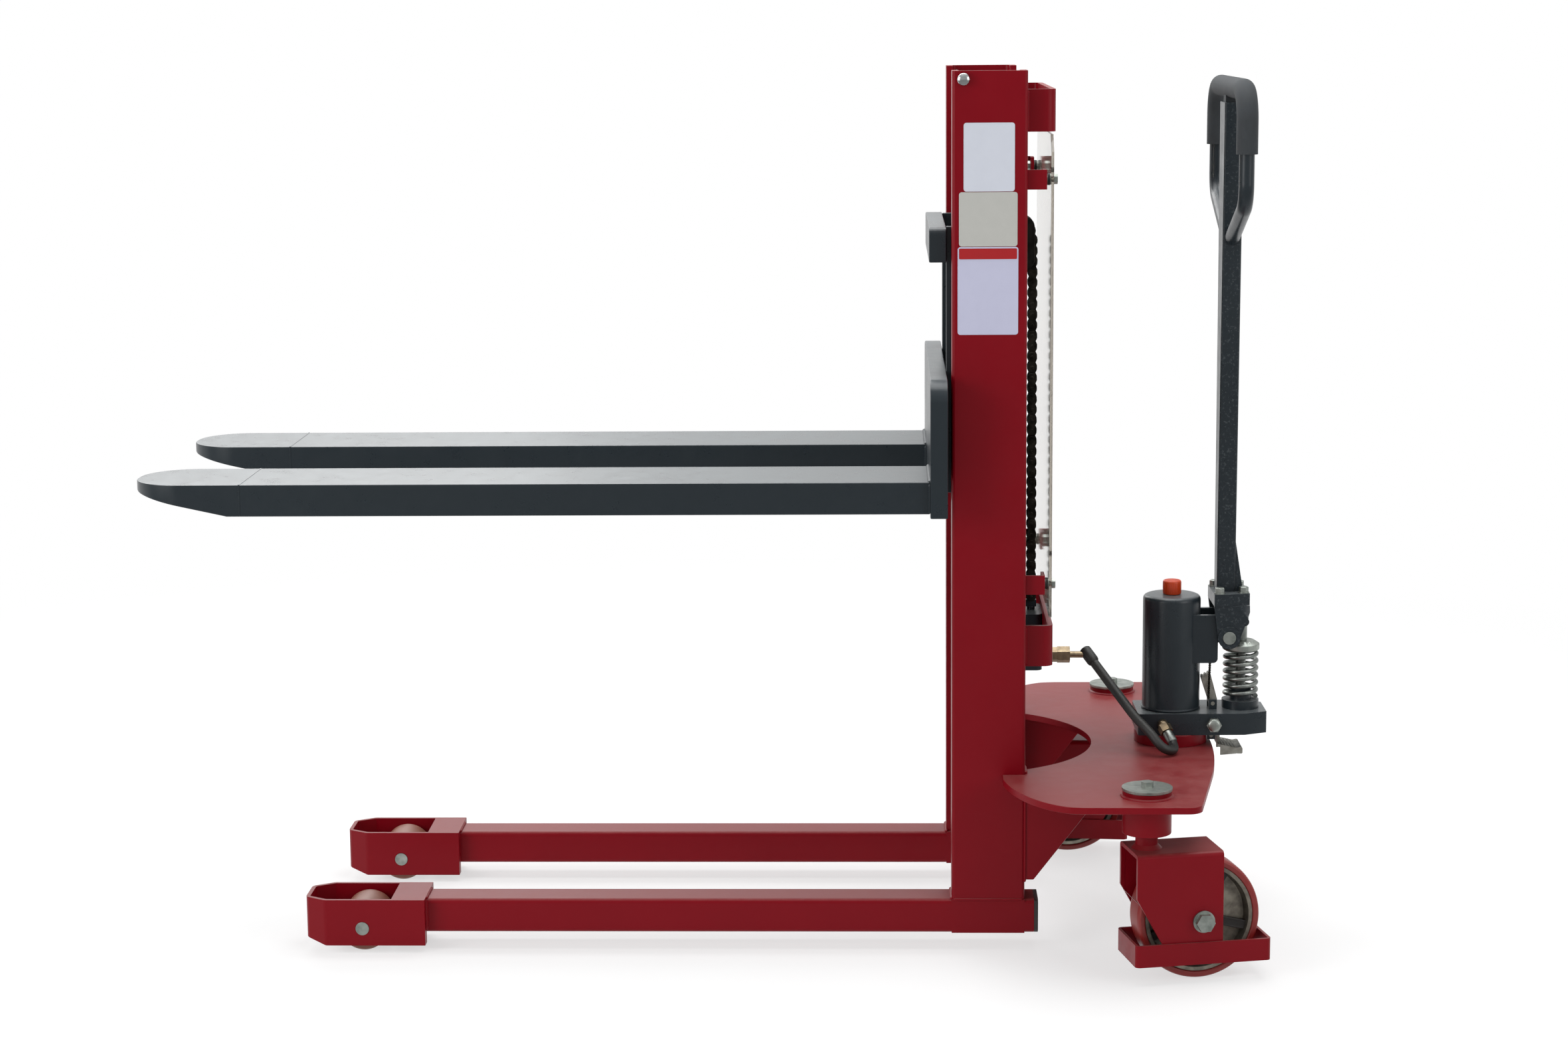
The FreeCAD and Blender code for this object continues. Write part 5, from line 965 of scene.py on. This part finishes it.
    def build(self) -> None:
        """Build the frame and its plates."""
        dress_nodes(RED, 1.2, "mast_channel_left", "mast_channel_right", "rear_braces", "base_gussets",
                    "plate_bosses", "leg_tube_left", "leg_tube_right", "roller_housing_left",
                    "roller_housing_right")
        dress_nodes(BLACK, 1.0, "leg_end_caps")
        dress_nodes(ZINC, 0.4, "frame_bolts", "front_axle_pins")
        dress_nodes(CLEAR, 0.3, "guard_sheet")
        self.base_plate()
        self.welds()
        self.spacers()
        self.stop_bolts()
        self.labels()


@dataclass
class LiftGear:
    """Cylinder, ram, pulley and lift chain."""

    cylinder_x: float = 84.0
    pulley_z: float = 1030.0
    pitch: float = 15.875
    radius: float = 40.686
    rear_links: int = 34
    front_links: int = 9
    wrap_links: int = 8
    outer_half: float = 9.1
    inner_half: float = 6.8
    plate: float = 2.0
    end_radius: float = 7.2
    end_sides: int = 20
    waist: float = 5.2
    pin: float = 2.5
    roller: float = 5.0

    def link_plate(self) -> Piece:
        """Model one waisted chain plate, lying flat with its pitch along Y.

        Returns:
            The plate, with its lower face on Z = 0.
        """
        bpy.ops.object.select_all(action="DESELECT")
        bpy.ops.mesh.primitive_circle_add(vertices=self.end_sides, radius=self.end_radius * MM,
                                          fill_type="NGON")
        obj = place(bpy.context.object, Matrix.Rotation(math.pi / self.end_sides, 4, "Z"))
        half = self.pitch / 2 * MM
        for sign in (-1, 1):
            with editing(obj, Pick.VERTS, lambda spot: spot.y * sign > 0):
                bpy.ops.transform.translate(value=(0, sign * half, 0))
        with editing(obj, Pick.EDGES, lambda one, other: one.y * other.y < 0):
            bpy.ops.mesh.subdivide(number_cuts=3)
        with editing(obj, Pick.VERTS, lambda spot: abs(spot.y) < half * 0.3):
            bpy.ops.transform.resize(value=(self.waist / self.end_radius, 1, 1))
        with editing(obj):
            bpy.ops.mesh.extrude_region_move(TRANSFORM_OT_translate={"value": (0, 0, self.plate * MM)})
        clean(obj)
        return soften(obj, 0.3, 1, 50)

    def link(self, outer: bool) -> Piece:
        """Model one link about its middle, pitch along Z and pins along Y.

        Args:
            outer: an outer link with pin heads, otherwise an inner one with rollers.

        Returns:
            The link.
        """
        name = "chain.outer" if outer else "chain.inner"
        face = self.outer_half if outer else self.inner_half
        if outer:
            half = [(self.pin - 0.5, face + 0.9), (self.pin, face + 0.5)]
        else:
            reach = face - self.plate
            half = [(self.roller - 0.4, reach), (self.roller, reach - 0.4)]
        heights = (face - self.plate, -face)
        plates = repeated(name, self.link_plate(), [Matrix.Translation((0, 0, z * MM)) for z in heights])
        pin = soften(turned("pin", mirrored(half), 12 if outer else 14))
        ends = (-self.pitch / 2, self.pitch / 2)
        pins = repeated("pins", pin, [Matrix.Translation((0, y * MM, 0)) for y in ends])
        return place(joined(name, [plates, pins]), stance(Vector((0, 0, 0)), -ACROSS))

    def run(self, name: str, pins: Sequence[Vector], first_outer: bool, masters: dict[bool, Piece]) -> Piece:
        """Lay links along a row of pins.

        Args:
            name: name of the strand.
            pins: places of its pins in the frame.
            first_outer: whether the first link is an outer one.
            masters: the modelled outer and inner links.

        Returns:
            The strand as one piece.
        """
        links = []
        for index, (start, end) in enumerate(zip(pins, pins[1:])):
            outer = (index % 2 == 0) == first_outer
            link = copy_of(masters[outer], name + ".%02d" % index)
            along = (end - start).normalized()
            turn = Matrix((ACROSS.cross(along), ACROSS, along)).transposed().to_4x4()
            link.data.transform(Matrix.Translation((start + end) / 2) @ turn)
            links.append(link)
        return joined(name, links)

    def chain(self) -> None:
        """Build the three runs of the lift chain."""
        masters = {outer: self.link(outer) for outer in (True, False)}
        rear_x, front_x = self.cylinder_x + self.radius, self.cylinder_x - self.radius
        rear = [at(rear_x, 0, self.pulley_z - self.pitch * k) for k in range(self.rear_links, -1, -1)]
        front = [at(front_x, 0, self.pulley_z - self.pitch * k) for k in range(self.front_links, -1, -1)]
        wrap = []
        for k in range(self.wrap_links + 1):
            angle = math.pi * k / self.wrap_links
            wrap.append(at(self.cylinder_x + self.radius * math.cos(angle), 0,
                           self.pulley_z + self.radius * math.sin(angle)))
        over = self.run("chain_over_pulley", wrap, self.rear_links % 2 == 0, masters)
        dress(over, CHAIN, "ram", "chain_wrap")
        for name, pins, first, last, start, end in (
            ("chain_rear", rear, "chassis", "ram", rear[0], rear[-1]),
            ("chain_front", front, "ram", "carriage", front[-1], front[0]),
        ):
            strand = self.run(name, pins, True, masters)
            dress(strand, CHAIN, node=name + "_strand")
            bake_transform(strand)
        for master in masters.values():
            bpy.data.objects.remove(master)

    def build(self) -> None:
        """Build the cylinder, ram, pulley and chain."""
        dress_nodes(SLATE, 0.8, "cylinder_barrel", "cylinder_port_block")
        dress_nodes(STEEL, 0.6, "cylinder_gland")
        dress_nodes(BLACKED, 0.6, "rod_head", "chain_pulley")
        dress_nodes(CHROME, 1.0, "lift_rod")
        self.chain()


@dataclass
class Carriage:
    """Forks, plates and rollers that ride in the mast."""

    fork_top: float = 707.0
    fork_depth: float = 46.0
    fork_width: float = 160.0
    fork_inner: float = 113.0
    seam_x: float = -1020.0
    seam_wide: float = 2.4
    seam_proud: float = 0.5
    heel_x: float = -32.5
    heel_leg: float = 3.5
    side_leg: float = 3.0

    def seams(self) -> None:
        """Weld the fork tips to the fork channels, and the channels to the lower plate."""
        beads = []
        top, low, heel = self.fork_top, self.fork_top - self.fork_depth, self.heel_x
        for sign in (-1, 1):
            inner, outer = sign * self.fork_inner, sign * (self.fork_inner + self.fork_width)
            seam = bar("seam", (self.seam_wide, self.fork_width + 0.9, self.fork_depth * 0.97),
                       at(self.seam_x, (inner + outer) / 2, top + self.seam_proud - self.fork_depth * 0.485))
            beads.append(soften(seam, 0.45))
            beads.append(weld_run(at(heel, outer * 0.99, top), at(heel, inner * 1.02, top), self.heel_leg))
            for edge in (outer, inner):
                beads.append(weld_run(at(heel, edge, low + 2), at(heel, edge, top - 2), self.side_leg))
        dress(joined("fork_seams", beads), SLATE, "carriage")

    def build(self) -> None:
        """Build the carriage."""
        dress_nodes(SLATE, 1.6, "fork_left", "fork_right", "carriage_lower_plate", "carriage_upper_bar",
                    "carriage_side_plates", "chain_anchor_bar")
        dress_nodes(ZINC, 0.6, "roller_axles")
        dress_nodes(STEEL, 0.6, "upper_mast_rollers", "lower_mast_rollers")
        self.seams()


@dataclass
class Casters:
    """Two swivel casters and the two front rollers."""

    trail: float = 72.0
    wheel_radius: float = 90.0
    wheel_face: float = 25.0
    rim_radius: float = 79.5
    rim_inner: float = 73.5
    rim_face: float = 23.0
    hub_radius: float = 23.0
    hub_face: float = 37.6
    axle_radius: float = 8.05
    web_face: float = 8.0
    spokes: int = 5
    spoke_width: float = 13.0
    spoke_turn: float = math.radians(46.0)
    spoke_rim: float = 3.0
    spoke_sink: float = 1.0
    hood_front: float = 26.0
    hood_open: Spot = (118.0, 185.0, 76.0)
    hood_cut: float = 20.0
    yaw_left: float = 12.0
    yaw_right: float = 175.0

    def yaw(self, side: Side) -> float:
        """Angle of one caster about its kingpin."""
        return math.radians(self.yaw_left if side is Side.LEFT else self.yaw_right)

    def core(self, name: str) -> Piece:
        """Model a wheel's spokes about Z, in a near-black finish that is painted shade.

        Args:
            name: name of the core.

        Returns:
            The spokes as one piece.
        """
        length = self.rim_inner - self.hub_radius + 2
        middle = Vector(((self.hub_radius + length / 2 - 1) * MM, 0, 0))
        rib = bar("rib", (length, self.spoke_width, 2 * self.rim_face - 10), middle)
        with editing(rib, Pick.FACES, lambda centre, normal: abs(normal.z) > 0.9):
            bpy.ops.mesh.inset(thickness=self.spoke_rim * MM, depth=-self.spoke_sink * MM)
        soften(rib, 1.2, 3)
        turns = [2 * math.pi * step / self.spokes - self.spoke_turn for step in range(self.spokes)]
        return repeated(name, rib, [Matrix.Rotation(turn, 4, "Z") for turn in turns])

    def wheel(self, side: Side) -> None:
        """Model one wheel: bonded tread, rim, hub and spokes.

        Args:
            side: which caster.
        """
        yaw = self.yaw(side)
        centre = at(KING_X + self.trail * math.cos(yaw), side.sign * KING_Y + self.trail * math.sin(yaw),
                    self.wheel_radius)
        spot = stance(centre, Vector((-math.sin(yaw), math.cos(yaw), 0)))
        tread = turned("tread_" + side.value, mirrored([
            (self.rim_radius, self.wheel_face),
            (self.wheel_radius - 2, self.wheel_face),
            (self.wheel_radius, self.wheel_face - 7),
        ]), 96, solid=False)
        soften(tread, 2.5, 4, 14)
        hub = turned("hub_" + side.value, mirrored([
            (self.axle_radius, self.hub_face),
            (self.hub_radius - 5, self.hub_face),
            (self.hub_radius, self.rim_face),
            (self.hub_radius + 8, self.web_face + 3),
            (self.rim_inner - 3, self.web_face),
            (self.rim_inner, self.rim_face),
            (self.rim_radius, self.rim_face),
        ]), 96, solid=False)
        soften(hub, 1.0)
        core = self.core("ribs_" + side.value)
        # The spokes' near-black finish is painted shade inside the wheel.
        for obj, finish in ((tread, TREAD), (hub, HUB), (core, SHADED_SPOKES)):
            dress(place(obj, spot), finish, "wheel_" + side.value, "caster_wheel_" + side.value)

    def hood(self, side: Side) -> None:
        """Fold one caster's hood from plate, open at its front.

        Args:
            side: which caster.
        """
        low, high, wide = self.hood_open
        middle = Vector((-self.hood_front, 0, (low + high) / 2)) * MM
        mouth = soften(bar("mouth", (self.hood_cut, wide, high - low), middle), 2.0, 3)
        place(mouth, stance(at(KING_X, side.sign * KING_Y, 0), turn=self.yaw(side)))
        dress(recast("caster_yoke_" + side.value, 1.0, mouth), RED, "caster_" + side.value)

    def build(self) -> None:
        """Build both casters and the front rollers."""
        for side in Side:
            self.hood(side)
            dress_nodes(ZINC, 0.6, "caster_bolts_" + side.value)
            self.wheel(side)
            dress_nodes(NYLON, 1.0, "front_roller_" + side.value)


@dataclass
class Pump:
    """Hand pump: valve block, reservoir, plunger, spring, lever and pedal."""

    block_low: float = 284.0
    block_top: float = 317.0
    plug_x: float = 60.0
    plug_y: float = -54.6
    reservoir: float = 43.5
    reservoir_top: float = 492.5
    cap_sides: int = 96
    cap_groove: float = 0.7
    cap_rim: float = 0.1
    plunger_x: float = 105.5
    collar_top: float = 330.0
    seat_low: float = 405.0
    spring_radius: float = 23.5
    wire: float = 3.5
    wire_sides: int = 14
    turns: int = 6
    turn_steps: int = 40
    shortest: float = 0.597
    play: float = 0.4
    knot: float = 2.1
    knot_end: float = 1.2
    knot_step: float = 3.9
    knot_lean: float = math.radians(24)

    def tank(self) -> None:
        """Turn the oil reservoir with its rolled top edge and bottom weld."""
        low, top, wide = self.block_top, self.reservoir_top, self.reservoir
        tank = soften(turned("reservoir", [
            (wide - 1.0, low), (wide + 1.0, low + 1.2), (wide + 1.2, low + 2.6), (wide, low + 4.4),
            (wide, top - 7), (wide - 0.6, top - 4.0), (wide - 2.4, top - 1.6), (wide - 5.5, top - 0.2),
            (wide - 8, top), (12.0, top),
        ], 96))
        place(tank, stance(at_pump(0, 0, 0)))
        dress(tank, SLATE, "chassis", "oil_reservoir")

    def cap(self) -> None:
        """Model the ribbed filler cap."""
        low = self.reservoir_top + self.play
        profile = [(12.6, 0.0), (13.6, 0.8), (14.0, 2.0), (14.0, 18.0), (13.4, 20.2), (11.8, 21.3),
                   (9.0, 21.6)]
        cap = turned("filler_knob", [(wide, low + high) for wide, high in profile], self.cap_sides)

        def grooved(middle: Vector, normal: Vector) -> bool:
            """Say whether a face is one of the grooves, every third one round the side."""
            share = (math.atan2(middle.y, middle.x) + math.pi) / (2 * math.pi)
            return abs(normal.z) < 0.2 and middle.z > (low + 3) * MM and int(share * self.cap_sides) % 3 == 0

        with editing(cap, Pick.FACES, grooved):
            bpy.ops.mesh.inset(thickness=self.cap_rim * MM, depth=-self.cap_groove * MM, use_individual=True)
        place(soften(cap), stance(at_pump(0, 0, 0), turn=PUMP_YAW))
        dress(cap, ORANGE, "cap", "filler_cap")

    def spring(self) -> None:
        """Wind the plunger spring with a screw."""
        margin = self.wire + self.play
        bpy.ops.object.select_all(action="DESELECT")
        bpy.ops.mesh.primitive_circle_add(vertices=self.wire_sides, radius=self.wire * MM)
        spring = bpy.context.object
        spring.name = "spring"
        start = Vector((self.spring_radius, 0, self.collar_top + margin)) * MM
        place(spring, Matrix.Translation(start) @ Matrix.Rotation(math.pi / 2, 4, "X"))
        screw = spring.modifiers.new("winding", "SCREW")
        screw.angle = 2 * math.pi * self.turns
        screw.screw_offset = (self.seat_low - self.collar_top - 2 * margin) * MM
        screw.steps = screw.render_steps = self.turn_steps * self.turns
        bpy.ops.object.modifier_apply(modifier=screw.name)
        with editing(spring):
            bpy.ops.mesh.select_all(action="DESELECT")
            bpy.ops.mesh.select_non_manifold()
            bpy.ops.mesh.fill_holes(sides=0)
        clean(spring)
        place(soften(spring), stance(at_pump(self.plunger_x, 0, 0), turn=PUMP_YAW))
        dress(spring, STEEL, "chassis", "plunger_spring")
        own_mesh(spring)

    def pull_chain(self) -> None:
        """Thread the knotted chain from the pivot lug to the release lever."""
        low, high = (corner / MM for corner in map(Vector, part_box("release_chain")))
        middle = (low.x + high.x) / 2
        start = Vector((middle, high.y - self.knot, low.z + self.knot_end)) * MM
        end = Vector((middle, low.y + self.knot, high.z - self.knot_end)) * MM
        profile = [(0.8, -2.3), (1.7, -1.3), (self.knot, 0.0), (1.7, 1.3), (0.8, 2.3)]
        knot = soften(turned("knot", profile, 10))
        count = round((end - start).length / (self.knot_step * MM))
        spots = []
        for step in range(count + 1):
            lean = Matrix.Rotation(self.knot_lean if step % 2 else -self.knot_lean, 4, "X")
            spots.append(Matrix.Translation(start.lerp(end, step / count)) @ lean)
        dress(repeated("release_links", knot, spots), CHAIN, "chassis", "release_chain")

    def plug(self) -> None:
        """Dome the head of the valve plug."""
        profile = [(9.6, 0.0), (9.6, 1.4), (8.8, 2.6), (6.6, 3.6), (3.0, 4.1)]
        head = soften(turned("valve_plug_head", profile, 48))
        spot = at_pump(self.plug_x, self.plug_y, (self.block_top + self.block_low) / 2)
        place(head, stance(spot, PUMP_TURN @ -ACROSS))
        dress(head, ZINC, "chassis")

    def build(self) -> None:
        """Build the pump."""
        dress_nodes(SLATE, 1.0, "pump_block", "pivot_bracket")
        dress_nodes(ZINC, 0.8, "pivot_pin", "spring_seat", "pump_roller")
        dress_nodes(STEEL, 0.6, "pump_plunger")
        dress_nodes(CAST, 0.5, "release_lever", "lowering_pedal")
        dress_nodes(BRASS, 0.5, "cylinder_hose_fitting", "pump_hose_fitting")
        self.tank()
        self.cap()
        self.spring()
        self.pull_chain()
        self.plug()


@dataclass
class Handle:
    """Pump handle: yoke, tube with its loop, foam grip and bolts."""

    flange_top: float = 498.5
    bolts: Profile = ((757.54, -31.31), (794.38, -22.16), (756.4, 33.68), (793.55, 25.83))
    bolt_turn: float = 0.3
    across: float = 13.0
    height: float = 9.5
    washer: float = 17.0
    washer_thick: float = 1.6

    def bolt(self) -> Piece:
        """Model one bolt head about Z with chamfered corners, on its washer.

        Returns:
            The head, standing on the flange.
        """
        corner, sheet = self.across / math.sqrt(3), self.washer_thick
        head = turned("flange_bolt", [(corner, sheet), (corner, self.height - self.across * 0.07),
                                      (self.across * 0.5, self.height)], 6)
        ring = turned("washer", [(self.washer / 2, 0), (self.washer / 2, sheet)], 48)
        return joined("flange_bolt", [soften(head, self.across * 0.025), soften(ring, 0.3)])

    def build(self) -> None:
        """Build the handle."""
        dress_nodes(SLATE, 0.8, "handle_yoke", "handle_tube")
        dress_nodes(FOAM, 1.0, "handle_grip")
        spots = []
        for number, (x, y) in enumerate(self.bolts):
            spots.append(stance(Vector((x, y, self.flange_top)) * MM, turn=self.bolt_turn * number))
        dress(repeated("flange_bolts.made", self.bolt(), spots), ZINC, "handle", "flange_bolts")


def main() -> None:
    """Build every sub-assembly in order and report it."""
    logging.basicConfig(level=logging.INFO, format="%(message)s")
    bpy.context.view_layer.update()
    for part in (Studio(), Hose(), Chassis(), LiftGear(), Carriage(), Casters(), Pump(), Handle()):
        log.info("%s", type(part).__name__)
        part.build()
    bpy.context.view_layer.update()


if __name__ == "__main__":
    main()
